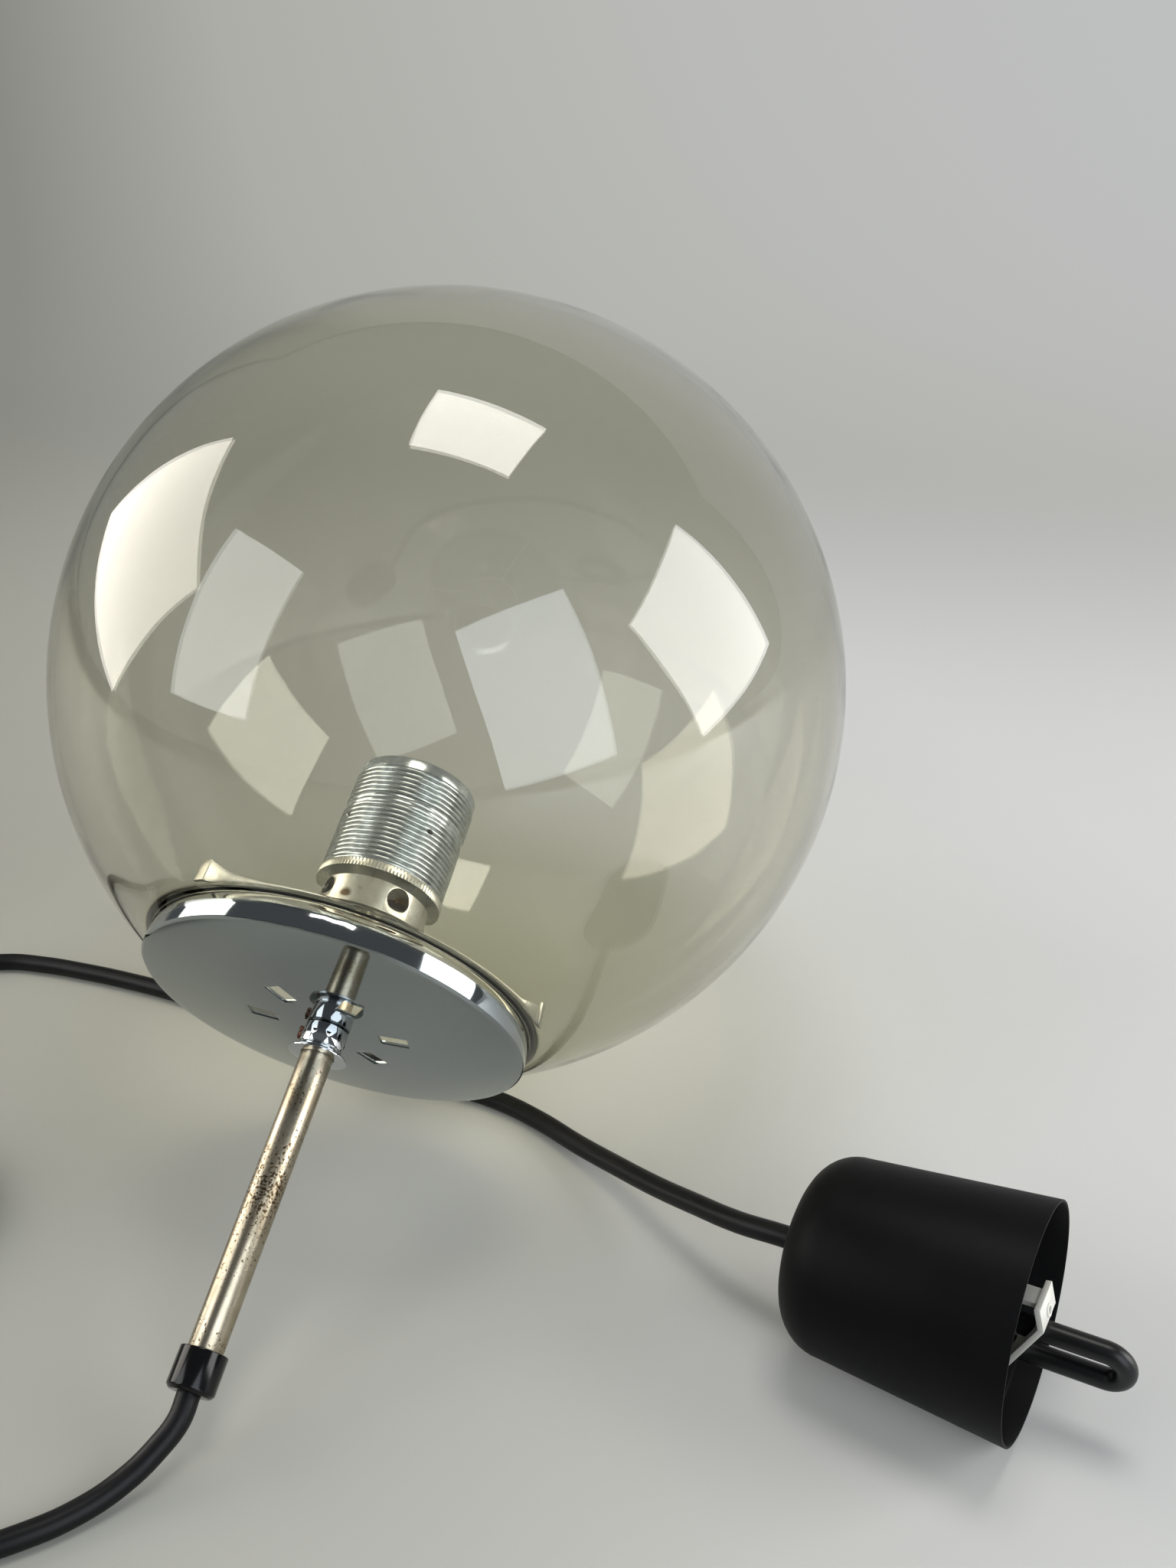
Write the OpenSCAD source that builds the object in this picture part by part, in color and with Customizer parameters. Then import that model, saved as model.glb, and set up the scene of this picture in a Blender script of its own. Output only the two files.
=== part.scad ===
// Globe pendant light, lying on a table: a smoked glass globe held on a stem by three folding arms,
// with its cord, the coil of spare cord and its ceiling cup. +Z is up from the table.

/* [Glass globe] */
// Outside diameter of the globe
globe_d = 266; // [240:1:300]
// Thickness of the glass
glass_wall = 2.5; // [2:0.1:4]
// Diameter of the neck hole
neck_d = 109; // [100:1:112]
// Radius of the round bead around the neck hole
bead_r = 2.9; // [2.6:0.1:3.4]
// Slope of the lamp's axis below the horizontal as it lies
lamp_tilt = 30; // [26:1:32]

/* [Cover plate] */
// Outside diameter of the plate
plate_d = 120; // [118:1:140]
// Thickness of its sheet
plate_wall = 1; // [0.8:0.1:1.5]
// Height of its turned rim
plate_rim_h = 6; // [4:0.5:9]
// Rise of its face from the rim to the middle
plate_dome = 3.6; // [1:0.1:4]
// Bevel between face and rim
plate_bevel = 0.8; // [0.3:0.1:1]
// Number of vent slots
slot_count = 6; // [3:1:8]
// Radial length of a vent slot
slot_l = 9; // [6:0.5:14]
// Width of a vent slot
slot_w = 6; // [4:0.5:9]
// Diameter of the ring that the slots lie on
slot_ring_d = 42; // [38:1:60]

/* [Stem] */
// Outside diameter of the stem tube
stem_d = 10; // [9:0.1:12]
// Bore of the stem tube
stem_bore = 8; // [7.2:0.1:8.4]
// Length of the stem tube
stem_l = 147; // [120:1:200]
// How far the stem screws into the lampholder
stem_in = 9; // [6:0.5:9]

/* [Stem end cap] */
// Outside diameter of the end cap
endcap_d = 13.4; // [12.8:0.1:16]
// Length of the end cap
endcap_l = 11; // [8:0.5:16]
// Thickness of its closed end
endcap_wall = 1.6; // [1.2:0.1:3]
// Bevel of its outer edge
endcap_bevel = 1; // [0.5:0.1:1.5]

/* [Set collar] */
// Diameter of the collar's body
collar_d = 13.5; // [13:0.1:16]
// Length of its body, between its foot and its groove
collar_body_h = 6.3; // [5.5:0.1:10]
// Length of its upper band
collar_band_h = 1.2; // [0.8:0.1:4]
// Width of the two grooves
collar_groove_h = 0.4; // [0.3:0.1:1]
// Depth of the two grooves
collar_groove_in = 0.4; // [0.3:0.1:0.7]
// Diameter of its flange
collar_flange_d = 18; // [16.5:0.1:22]
// Thickness of its flange
collar_flange_t = 0.8; // [0.6:0.1:2]
// Diameter of the grub screw
grub_d = 4; // [3:0.5:4]
// Length of the grub screw
grub_l = 2.6; // [2.2:0.1:3.5]
// Width of the grub screw's slot
grub_slot_w = 0.7; // [0.5:0.1:1]
// Depth of the grub screw's slot
grub_slot_in = 0.9; // [0.6:0.1:1.2]

/* [Glass arms] */
// Number of arms
arm_count = 3; // [3:1:3]
// Thickness of an arm
arm_t = 1.2; // [1:0.1:1.6]
// How far an arm hooks outwards under the glass
hook_reach = 7; // [5:0.5:8]
// Height of the hook at its outer end
hook_h = 6.8; // [5:0.1:8]
// Radial length of the hook
hook_l = 7.6; // [6:0.1:9]
// Width of the tab that is bent aside at the hook's outer end
hook_tab_w = 4; // [2.5:0.1:5]
// Height of the arm's shank
shank_h = 4.6; // [3.5:0.1:6]
// Rise of the arm from its rivet to the top of the hook
arm_rise = 13.13; // [12:0.01:16]
// Radius of the circle of rivets
pivot_r = 15; // [14:0.5:17]
// Radius of the round eye of an arm
eye_r = 3.4; // [3:0.1:3.6]
// Diameter of an arm's rivet
rivet_d = 3; // [2:0.1:3.4]
// Diameter of a rivet head
rivet_head_d = 4.8; // [4.2:0.1:6]
// Thickness of a rivet head
rivet_head_t = 0.7; // [0.5:0.1:1]

/* [Arm hub] */
// Radius of the hub plate
hub_r = 11.4; // [11:0.1:11.6]
// Thickness of the hub plate
hub_t = 1.5; // [1:0.1:2]
// Thickness of an ear
ear_t = 1; // [0.8:0.1:1.5]
// Height of the rivets above the hub plate
ear_rise = 3.2; // [3:0.1:4]
// Width of the lock nut across its flats
nut_af = 14; // [13:0.1:14.4]
// Thickness of the lock nut
nut_t = 3; // [2:0.1:4]

/* [Lampholder] */
// Diameter of the cap's skirt
skirt_d = 34; // [32:0.5:35]
// Height of the skirt
skirt_h = 11; // [11:0.1:14]
// Thickness of the cap's sheet
cap_wall = 1; // [0.8:0.1:1.2]
// Diameter of the threaded boss in the cap
boss_d = 15; // [14:0.1:18]
// Length of the threaded boss
boss_h = 8; // [6:0.5:9]
// Diameter over the knurled band
knurl_d = 40.8; // [40.2:0.1:42]
// Height of the knurled band
knurl_h = 2.6; // [2.4:0.1:4]
// Height of the slope between skirt and knurled band
flare_h = 1.6; // [1.4:0.1:3]
// Number of knurls
knurl_count = 110; // [60:1:120]
// Depth of the knurls
knurl_in = 0.25; // [0.2:0.05:0.4]
// Number of vent holes in the skirt
vent_count = 4; // [2:1:4]
// Diameter of a vent hole
vent_d = 7.8; // [4:0.1:7.8]
// Distance from the cap's top down to the vent holes
vent_down = 7; // [5:0.1:7]

/* [Threaded shell] */
// Diameter over the ridges
shell_d = 40; // [39:0.1:42]
// Diameter of the shell's bore
shell_bore = 37.2; // [36.6:0.1:37.6]
// Depth of the ridges
ridge_in = 0.6; // [0.3:0.05:0.7]
// Pitch of the ridges
ridge_pitch = 1.7; // [1.2:0.05:2]
// Number of ridges near the cap
ridge_cap_count = 12; // [8:1:14]
// Number of ridges near the mouth
ridge_mouth_count = 5; // [3:1:6]
// Width of the plain groove between them
groove_h = 3.3; // [2:0.1:5]
// Height of the plain rim at the mouth
rim_h = 5.4; // [3:0.1:8]
// Diameter of the mouth
mouth_d = 30; // [29:0.1:32]
// Thickness of the turned lip of the mouth
lip_t = 1.2; // [0.8:0.1:2]
// Length of the shell's spigot inside the knurled band
spigot_h = 3; // [2:0.1:3.2]
// Diameter of the spigot
spigot_d = 36.8; // [36.4:0.1:37]

/* [Lampholder inside] */
// Bore of the screw shell that takes the lamp
lamp_bore = 26.6; // [26.4:0.1:27]
// Thickness of the screw shell
lamp_wall = 0.5; // [0.4:0.1:0.6]
// Length of the screw shell
lamp_shell_h = 18; // [15:0.5:19]
// Room for the centre tongue between screw shell and ceramic insert
tongue_room = 5.4; // [5:0.1:6]
// Diameter of the ceramic insert
insert_d = 31; // [30:0.1:33]
// Height of the ceramic insert
insert_h = 15; // [12:0.5:16]
// Thickness of the insert's flange
insert_flange_t = 3; // [2:0.1:3.4]
// Diameter of the centre tongue's button
button_d = 6; // [5:0.1:8]
// Thickness of the tongue
tongue_t = 0.6; // [0.4:0.1:0.8]
// Width of the tongue
tongue_w = 5; // [4:0.1:7]
// Length of the tongue's slope
tongue_l = 7; // [5:0.1:8]
// Drop of the tongue's free end below its root
tongue_drop = 3.6; // [2.5:0.1:4]
// Diameter of a terminal screw's head
term_head_d = 5.4; // [4:0.1:6]
// Height of a terminal screw's head
term_head_h = 2; // [1.5:0.1:2.4]
// Distance of a terminal screw from the middle
term_off = 9; // [8:0.1:10]
// Diameter of a wire core with its insulation
core_d = 2; // [1.6:0.1:2.2]
// Depth of the cord's end inside the stem
lead_in = 6; // [4:0.5:12]

/* [Ceiling cup] */
// Diameter of the cup's rim
cup_d = 65; // [60:1:80]
// Diameter of its crown, measured where the cone would end
crown_d = 56; // [52:1:60]
// Height of the cup
cup_h = 66; // [60:1:90]
// Thickness of the cup
cup_wall = 1.6; // [1.2:0.1:3]
// Radius of the round edge of the crown
crown_round = 13; // [6:1:18]
// Diameter of the cord hole
cup_hole_d = 8; // [7.2:0.1:8.4]

/* [Grip strap] */
// Width of the strap
strap_w = 12; // [11.5:0.5:14]
// Thickness of the strap
strap_t = 1.6; // [1.2:0.1:2]
// Length of the upper leg
strap_up_l = 7; // [6:0.5:9]
// Length of the lower leg
strap_low_l = 22.5; // [22:0.5:25]
// Slope of the upper leg
strap_up_slope = 12; // [5:1:15]
// Slope of the lower leg
strap_low_slope = 28; // [20:1:32]
// Outside diameter of the ring that grips the cord
grip_d = 10; // [9.4:0.1:12]
// Length of the grip ring
grip_l = 2.6; // [2:0.1:4]
// Outside diameter of the eyelet in the upper leg
eyelet_d = 3.6; // [3:0.1:3.8]
// Bore of the eyelet
eyelet_bore = 2.2; // [1.4:0.1:2.4]

/* [Hanging loop] */
// Thickness of the loop
loop_d = 6; // [5:0.1:6.2]
// Distance between the middles of its two legs
loop_pitch = 10.5; // [10:0.1:11]
// Reach of the loop beyond the rim of the cup
loop_reach = 26; // [18:1:30]
// Turn of the loop about the cup's axis
loop_turn = 8; // [0:1:10]

/* [Terminal block] */
// Length of the block
block_l = 14; // [12:1:18]
// Width of the block
block_w = 18; // [16:1:22]
// Thickness of the block
block_t = 8; // [7:0.5:10]
// Bore of its brass tubes
block_bore = 2.6; // [2.4:0.1:3]

/* [Cord] */
// Diameter of the cord
cord_d = 6.5; // [5.5:0.1:6.8]
// Sides of the cord's tube
cord_sides = 10; // [8:1:12]
// Number of loops in the coil
coil_loops = 3; // [1:1:6]
// Mean diameter of the coil
coil_d = 72; // [66:1:80]
// Room between the loops of the coil
coil_room = 0.6; // [0.5:0.1:1]

/* [Clearances] */
// Gap between the glass and what holds it
glass_gap = 0.3; // [0.2:0.05:0.5]
// Clearance of a sliding or turning fit, on the radius
run_gap = 0.06; // [0.02:0.01:0.1]
// Clearance of the plate's hole around the stem, on the radius
plate_hole_gap = 0.3; // [0.1:0.05:0.5]
// Clearance on each side of an arm between its ears
ear_gap = 0.1; // [0.05:0.05:0.3]
// Gap between the threaded shell and the knurled band
shell_gap = 0.25; // [0.1:0.05:0.5]
// Clearance of pieces that only sit in each other, on the radius
seat_gap = 0.05; // [0.02:0.01:0.1]

/* [Hidden] */

$fn = 96;
fine = 180;
eps = 0.01;

// Angles around the stem, counted from the side that lies to the right
arm_turn = -5;
vent_turn = 43;
grub_turn = 170;
earth_turn = 270;

// Heights along the lamp's axis, from the middle of the globe towards the stem's end
globe_r = globe_d / 2;
glass_in_r = globe_r - glass_wall;
neck_r = neck_d / 2;
plate_r = plate_d / 2;
rim_z = sqrt(pow(globe_r, 2) - pow(plate_r - plate_wall, 2)) + glass_gap;
face_z = rim_z + plate_rim_h;
plate_top_z = face_z + plate_dome;

// The bead lies in the shell, a hair inside its outer face and outside its neck hole
bead_sink = 0.1;
bead_ring_r = neck_r + bead_r + bead_sink;
bead_z = sqrt(pow(globe_r - bead_r - bead_sink, 2) - pow(bead_ring_r, 2));
hook_r = neck_r + hook_reach;
hook_z = bead_z - bead_r - glass_gap;
pivot_z = hook_z - arm_rise;
hub_z = pivot_z - ear_rise - hub_t;
boss_z = hub_z - boss_h;
stem_z = hub_z - stem_in;
stem_top_z = stem_z + stem_l;
endcap_top_z = stem_top_z + endcap_wall;
skirt_z = hub_z - skirt_h;
knurl_top_z = skirt_z - flare_h;
knurl_z = knurl_top_z - knurl_h;
shell_top_z = knurl_z - shell_gap;
ridge_top_gap = 0.8;
ridges_cap_z = shell_top_z - ridge_top_gap - ridge_cap_count * ridge_pitch;
ridges_mouth_z = ridges_cap_z - groove_h - ridge_mouth_count * ridge_pitch;
mouth_z = ridges_mouth_z - rim_h;
insert_top_z = shell_top_z + spigot_h;
insert_z = insert_top_z - insert_h;
lamp_top_z = insert_z - tongue_room;
lamp_z = lamp_top_z - lamp_shell_h;
cord_r = cord_d / 2;
collar_z = plate_top_z + seat_gap;
grub_z = collar_z + collar_body_h / 2;

// Place of the globe as it lies, with the lamp's own box centred on the origin
front_reach = endcap_top_z * cos(lamp_tilt) + (endcap_d / 2 - endcap_bevel) * sin(lamp_tilt);
globe_y = (front_reach - globe_r) / 2;

module lamp_place() {
    translate([0, globe_y, globe_r]) rotate([90 + lamp_tilt, 0, 0]) children();
}

// Glass

module globe() {
    bead_sides = 24;
    color("#6b655c") lamp_place() union() {
        difference() {
            sphere(r = globe_r, $fn = fine);
            sphere(r = glass_in_r, $fn = fine);
            cylinder(r = neck_r, h = globe_d, $fn = fine);
        }
        translate([0, 0, bead_z]) rotate_extrude($fn = fine)
            translate([bead_ring_r, 0]) circle(r = bead_r, $fn = bead_sides);
    }
}

// Cover plate and its collar

function dome_z(r) = face_z + plate_dome * (1 - pow(r / plate_r, 2));

plate_hole_r = stem_d / 2 + plate_hole_gap;
dome_steps = 8;
face_r = plate_r - plate_bevel;
dome_rs = [for (i = [0 : dome_steps]) plate_hole_r + (face_r - plate_hole_r) * i / dome_steps];

module plate_profile() {
    outer = [for (r = dome_rs) [r, dome_z(r)]];
    inner = [for (i = [dome_steps : -1 : 0]) [dome_rs[i], dome_z(dome_rs[i]) - plate_wall]];
    rim = [
        [plate_r, dome_z(face_r) - plate_bevel],
        [plate_r, rim_z],
        [plate_r - plate_wall, rim_z],
        [plate_r - plate_wall, dome_z(face_r) - plate_wall - plate_bevel]
    ];
    polygon(concat(outer, rim, inner));
}

module cover_plate() {
    slot_cut = 4 * (plate_dome + plate_wall);
    color("#c8ccd0") lamp_place() difference() {
        rotate_extrude($fn = fine) plate_profile();
        for (i = [0 : slot_count - 1])
            rotate(arm_turn + i * 360 / slot_count)
                translate([slot_ring_d / 2, 0, face_z + plate_dome / 2])
                    cube([slot_l, slot_w, slot_cut], center = true);
    }
}

collar_r = collar_d / 2;
collar_bore_r = stem_d / 2 + run_gap;
collar_foot = 0.5;
band_z = collar_z + collar_body_h + collar_groove_h;
flange_z = band_z + collar_band_h + collar_groove_h;
collar_top_z = flange_z + collar_flange_t;

module set_collar() {
    groove_r = collar_r - collar_groove_in;
    flange_r = collar_flange_d / 2;
    edge = collar_flange_t / 3;
    color("#d2d4d6") lamp_place() difference() {
        rotate_extrude() polygon([
            [collar_bore_r, collar_z],
            [collar_r - collar_foot, collar_z],
            [collar_r, collar_z + collar_foot],
            [collar_r, collar_z + collar_body_h],
            [groove_r, collar_z + collar_body_h],
            [groove_r, band_z],
            [collar_r, band_z],
            [collar_r, band_z + collar_band_h],
            [groove_r, band_z + collar_band_h],
            [groove_r, flange_z],
            [flange_r - edge, flange_z],
            [flange_r, flange_z + edge],
            [flange_r, collar_top_z],
            [collar_bore_r + edge, collar_top_z],
            [collar_bore_r, collar_top_z - edge]
        ]);
        rotate(grub_turn) translate([0, 0, grub_z]) rotate([0, 90, 0])
            cylinder(d = grub_d + 2 * run_gap, h = collar_d);
    }
}

module grub_screw() {
    start = stem_d / 2 + run_gap;
    color("#7a5a44") lamp_place() rotate(grub_turn) translate([start, 0, grub_z]) rotate([0, 90, 0])
        difference() {
            cylinder(d = grub_d, h = grub_l);
            translate([0, 0, grub_l])
                cube([grub_slot_w, 2 * grub_d, 2 * grub_slot_in], center = true);
        }
}

// Stem, end cap and the cord inside

module stem_tube() {
    color("#a39c86") lamp_place() translate([0, 0, stem_z]) difference() {
        cylinder(d = stem_d, h = stem_l);
        translate([0, 0, -eps]) cylinder(d = stem_bore, h = stem_l + 2 * eps);
    }
}

module stem_end_cap() {
    r = endcap_d / 2;
    start = endcap_top_z - endcap_l;
    color("#101010") lamp_place() rotate_extrude() polygon([
        [stem_d / 2 + seat_gap, start],
        [r, start],
        [r, endcap_top_z - endcap_bevel],
        [r - endcap_bevel, endcap_top_z],
        [cord_r + seat_gap, endcap_top_z],
        [cord_r + seat_gap, stem_top_z],
        [stem_d / 2 + seat_gap, stem_top_z]
    ]);
}

lead_z = stem_z + lead_in;

module stem_lead() {
    color("#161616") lamp_place() translate([0, 0, lead_z])
        cylinder(r = cord_r, h = endcap_top_z - lead_z);
}

// Folding arms, their hub, rivets and lock nut

ear_half = arm_t / 2 + ear_gap;
ear_nut_gap = 0.7;
ear_start = nut_af / sqrt(3) + ear_nut_gap;
hook_low_z = hook_z - hook_h;

module arm_shape() {
    hook_in = hook_r - hook_l;
    translate([pivot_r, pivot_z]) circle(r = eye_r);
    polygon([
        [pivot_r, pivot_z - shank_h / 2],
        [hook_in, hook_low_z],
        [hook_in, hook_low_z + shank_h],
        [pivot_r, pivot_z + shank_h / 2]
    ]);
    translate([hook_in, hook_low_z]) square([hook_l, hook_h]);
}

module glass_arm(number) {
    color("#cfc7ad") lamp_place() rotate(arm_turn + (number - 1) * 360 / arm_count) difference() {
        union() {
            rotate([90, 0, 0]) linear_extrude(height = arm_t, center = true) arm_shape();
            translate([hook_r - arm_t, -arm_t / 2, hook_low_z]) cube([arm_t, hook_tab_w, hook_h]);
        }
        translate([pivot_r, 0, pivot_z]) rotate([90, 0, 0])
            cylinder(d = rivet_d + 2 * run_gap, h = 3 * arm_t, center = true);
    }
}

module ear_shape() {
    translate([pivot_r, pivot_z]) circle(r = eye_r);
    translate([ear_start, hub_z]) square([pivot_r - ear_start, pivot_z + eye_r - hub_z]);
}

module arm_hub() {
    color("#b9b39c") lamp_place() difference() {
        union() {
            translate([0, 0, hub_z]) cylinder(r = hub_r, h = hub_t);
            for (i = [0 : arm_count - 1], side = [-1, 1])
                rotate(arm_turn + i * 360 / arm_count)
                    translate([0, side * (ear_half + ear_t / 2), 0])
                        rotate([90, 0, 0]) linear_extrude(height = ear_t, center = true) ear_shape();
        }
        translate([0, 0, hub_z - eps]) cylinder(r = stem_d / 2 + seat_gap, h = hub_t + 2 * eps);
        for (i = [0 : arm_count - 1])
            rotate(arm_turn + i * 360 / arm_count) translate([pivot_r, 0, pivot_z])
                rotate([90, 0, 0])
                    cylinder(d = rivet_d + 2 * seat_gap, h = 4 * (ear_half + ear_t), center = true);
    }
}

module arm_rivets() {
    reach = ear_half + ear_t;
    color("#8f8a7a") lamp_place() for (i = [0 : arm_count - 1])
        rotate(arm_turn + i * 360 / arm_count) translate([pivot_r, 0, pivot_z])
            rotate([90, 0, 0]) {
                cylinder(d = rivet_d, h = 2 * reach, center = true);
                for (side = [-1, 1])
                    translate([0, 0, side * (reach + rivet_head_t / 2)])
                        cylinder(d = rivet_head_d, h = rivet_head_t, center = true);
            }
}

module lock_nut() {
    color("#a8a08a") lamp_place() translate([0, 0, hub_z + hub_t]) difference() {
        cylinder(d = nut_af / cos(30), h = nut_t, $fn = 6);
        translate([0, 0, -eps]) cylinder(r = stem_d / 2 + seat_gap, h = nut_t + 2 * eps);
    }
}

// Lampholder

// The band closes around the shell's spigot, and the skirt is never much narrower than the band
band_in_r = spigot_d / 2 + seat_gap;
flare_step = 1.7;
skirt_r = max(skirt_d / 2, band_in_r - flare_step);
spigot_room = 0.2;

module holder_cap() {
    boss_bore_r = stem_d / 2 + seat_gap;
    knurl_r = max(knurl_d / 2, band_in_r + cap_wall + knurl_in);
    root = knurl_r - knurl_in;
    band_top_z = insert_top_z + spigot_room;
    outline = [for (i = [0 : 2 * knurl_count - 1])
        (knurl_r - (i % 2) * knurl_in) * [cos(180 * i / knurl_count), sin(180 * i / knurl_count)]];
    color("#b7b19b") lamp_place() difference() {
        union() {
            rotate_extrude() polygon([
                [boss_bore_r, boss_z],
                [boss_d / 2, boss_z],
                [boss_d / 2, hub_z - cap_wall],
                [skirt_r - cap_wall, hub_z - cap_wall],
                [skirt_r - cap_wall, band_top_z],
                [band_in_r, band_top_z],
                [band_in_r, knurl_z],
                [root - knurl_in, knurl_z],
                [root - knurl_in, knurl_top_z - knurl_in],
                [root - eps, knurl_top_z],
                [skirt_r, skirt_z],
                [skirt_r, hub_z],
                [boss_bore_r, hub_z]
            ]);
            translate([0, 0, knurl_z]) linear_extrude(height = knurl_h) difference() {
                polygon(outline);
                circle(r = band_in_r + cap_wall / 2);
            }
        }
        for (i = [0 : vent_count - 1])
            rotate(vent_turn + i * 360 / vent_count) translate([0, 0, hub_z - vent_down])
                rotate([0, 90, 0]) translate([0, 0, skirt_r / 2]) cylinder(d = vent_d, h = skirt_r);
    }
}

// The shell stands out past its own bore and past its spigot, whichever is wider
spigot_step = 0.9;
least_wall = 0.5;
shell_core_r = max(spigot_d / 2 + spigot_step, shell_bore / 2 + least_wall);
shell_r = max(shell_d / 2, shell_core_r + ridge_in);
root_r = shell_r - ridge_in;

function ridges(bottom, count) = [for (i = [0 : count - 1], half = [0, 1])
    [half == 0 ? root_r : shell_r, bottom + (i + half / 2) * ridge_pitch]];

module threaded_shell() {
    lip_round = lip_t / 2;
    color("#8d9196") lamp_place() rotate_extrude() polygon(concat(
        [
            [mouth_d / 2, mouth_z],
            [shell_r - lip_round - ridge_in / 2, mouth_z],
            [shell_r - ridge_in / 2, mouth_z + lip_round],
            [shell_r - ridge_in / 2, ridges_mouth_z]
        ],
        ridges(ridges_mouth_z, ridge_mouth_count),
        [
            [root_r, ridges_cap_z - groove_h],
            [root_r, ridges_cap_z]
        ],
        ridges(ridges_cap_z + eps, ridge_cap_count),
        [
            [root_r, shell_top_z - ridge_top_gap + 2 * eps],
            [root_r, shell_top_z],
            [spigot_d / 2, shell_top_z],
            [spigot_d / 2, insert_top_z],
            [insert_flange_r + seat_gap, insert_top_z],
            [insert_flange_r + seat_gap, shell_top_z - ridge_top_gap],
            [shell_bore / 2, shell_top_z - 2 * ridge_top_gap],
            [shell_bore / 2, mouth_z + lip_t],
            [mouth_d / 2, mouth_z + lip_t]
        ]
    ));
}

spigot_wall = 1;
rib_room = 1;
insert_flange_r = spigot_d / 2 - spigot_wall;
ring_in_r = lamp_bore / 2 + lamp_wall + rib_room;

module insulating_ring() {
    low = mouth_z + lip_t;
    color("#e6e2d6") lamp_place() translate([0, 0, low]) difference() {
        cylinder(r = shell_bore / 2 - seat_gap, h = insert_z - low);
        translate([0, 0, -eps]) cylinder(r = ring_in_r, h = insert_z - low + 2 * eps);
    }
}

module screw_shell() {
    r = lamp_bore / 2;
    rib = 0.5;
    rib_count = 4;
    rib_pitch = lamp_shell_h / (rib_count + 1);
    tab_w = 4;
    tab_t = 0.6;
    tab_hold = 0.1;
    tab_z = lamp_z + rib_count * rib_pitch;
    color("#b5a06a") lamp_place() difference() {
        union() {
            translate([0, 0, lamp_z]) cylinder(r = r + lamp_wall, h = lamp_shell_h);
            for (i = [1 : rib_count])
                translate([0, 0, lamp_z + i * rib_pitch - rib / 2])
                    cylinder(r = ring_in_r - seat_gap, h = rib);
            for (side = [0, 180])
                rotate(side) translate([-tab_w / 2, r + lamp_wall - tab_hold, tab_z])
                    cube([tab_w, tab_t, insert_z - seat_gap - tab_z]);
        }
        translate([0, 0, lamp_z - eps]) cylinder(r = r, h = lamp_shell_h + 2 * eps);
    }
}

module ceramic_insert() {
    color("#efeade") lamp_place() difference() {
        union() {
            translate([0, 0, insert_z]) cylinder(d = insert_d, h = insert_h);
            translate([0, 0, insert_top_z - insert_flange_t])
                cylinder(r = insert_flange_r, h = insert_flange_t);
        }
        for (side = [-1, 1])
            translate([side * term_off, 0, insert_top_z - term_screw_l])
                cylinder(d = term_screw_d + 2 * seat_gap, h = insert_h);
    }
}

term_screw_d = 3;
term_screw_l = 6;

module screw_part() {
    slot = 0.7;
    difference() {
        union() {
            translate([0, 0, -term_screw_l + eps]) cylinder(d = term_screw_d, h = term_screw_l);
            cylinder(d = term_head_d, h = term_head_h);
        }
        translate([0, 0, term_head_h]) cube([2 * term_head_d, slot, 2 * slot], center = true);
    }
}

module terminal_screws() {
    color("#c2a65a") lamp_place() for (side = [-1, 1])
        translate([side * term_off, 0, insert_top_z]) screw_part();
}

// The tongue bends at its root, beside the foot that holds it to the insert
tongue_root_x = -tongue_l - button_d / 2;
tongue_root_z = insert_z - 2 * tongue_t;
tongue_foot_l = 2;

module contact_tongue() {
    low_z = tongue_root_z - tongue_drop;
    button_x = -button_d / 2;
    foot_x = tongue_root_x - tongue_foot_l;
    color("#c9a548") lamp_place() {
        rotate([90, 0, 0]) linear_extrude(height = tongue_w, center = true) polygon([
            [foot_x, tongue_root_z],
            [tongue_root_x, tongue_root_z],
            [button_x, low_z],
            [0, low_z],
            [0, low_z + tongue_t],
            [button_x, low_z + tongue_t],
            [tongue_root_x, tongue_root_z + tongue_t],
            [tongue_root_x, insert_z - seat_gap],
            [foot_x, insert_z - seat_gap]
        ]);
        translate([0, 0, low_z]) cylinder(d = button_d, h = tongue_t);
    }
}

earth_head_d = 5;
earth_head_h = 1.4;
earth_out = 11;

module earth_screw() {
    color("#b8b09a") lamp_place() rotate(earth_turn)
        translate([earth_out, 0, hub_z - cap_wall - earth_head_h])
            cylinder(d = earth_head_d, h = earth_head_h);
}

// Wire cores inside the lampholder

core_r = core_d / 2;
core_sides = 8;
core_room = 0.1;
core_off = core_d / sqrt(3) + core_room;
core_stand = 1.5 * core_d;

function core_at(turn) = core_off * [cos(turn), sin(turn)];

module core_run(points, up) {
    swept_tube(points, core_r, core_sides, up);
}

module terminal_core(side) {
    low = insert_top_z + core_r + seat_gap;
    start = core_at(earth_turn + side * 120);
    end_x = side * (term_off - term_head_d / 2 - seat_gap);
    core_run([
        [start[0], start[1], lead_z - seat_gap],
        [start[0], start[1], low + core_stand],
        [start[0] + side * core_r, start[1], low + core_r],
        [end_x - side * core_d, 0, low],
        [end_x, 0, low]
    ], [0, 1, 0]);
}

module live_core() {
    color("#6e4326") lamp_place() terminal_core(1);
}

module neutral_core() {
    color("#2f5fa8") lamp_place() terminal_core(-1);
}

module earth_core() {
    end_z = hub_z - cap_wall - earth_head_h - seat_gap;
    low = insert_top_z + core_r + seat_gap;
    color("#5f9a3a") lamp_place() rotate(earth_turn) core_run([
        [core_off, 0, lead_z - seat_gap],
        [core_off, 0, low + core_stand],
        [core_off + core_d, 0, low],
        [earth_out - core_d, 0, low],
        [earth_out, 0, low + core_d],
        [earth_out, 0, end_z]
    ], [0, 1, 0]);
}

// Ceiling cup and what hangs it, along the cup's own axis from the middle of its rim

cup_r = cup_d / 2;
crown_r = crown_d / 2;
cup_slope = atan((cup_r - crown_r) / cup_h);
cup_x = 211;
cup_y = -94;
cup_turn = -13.4;

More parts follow.
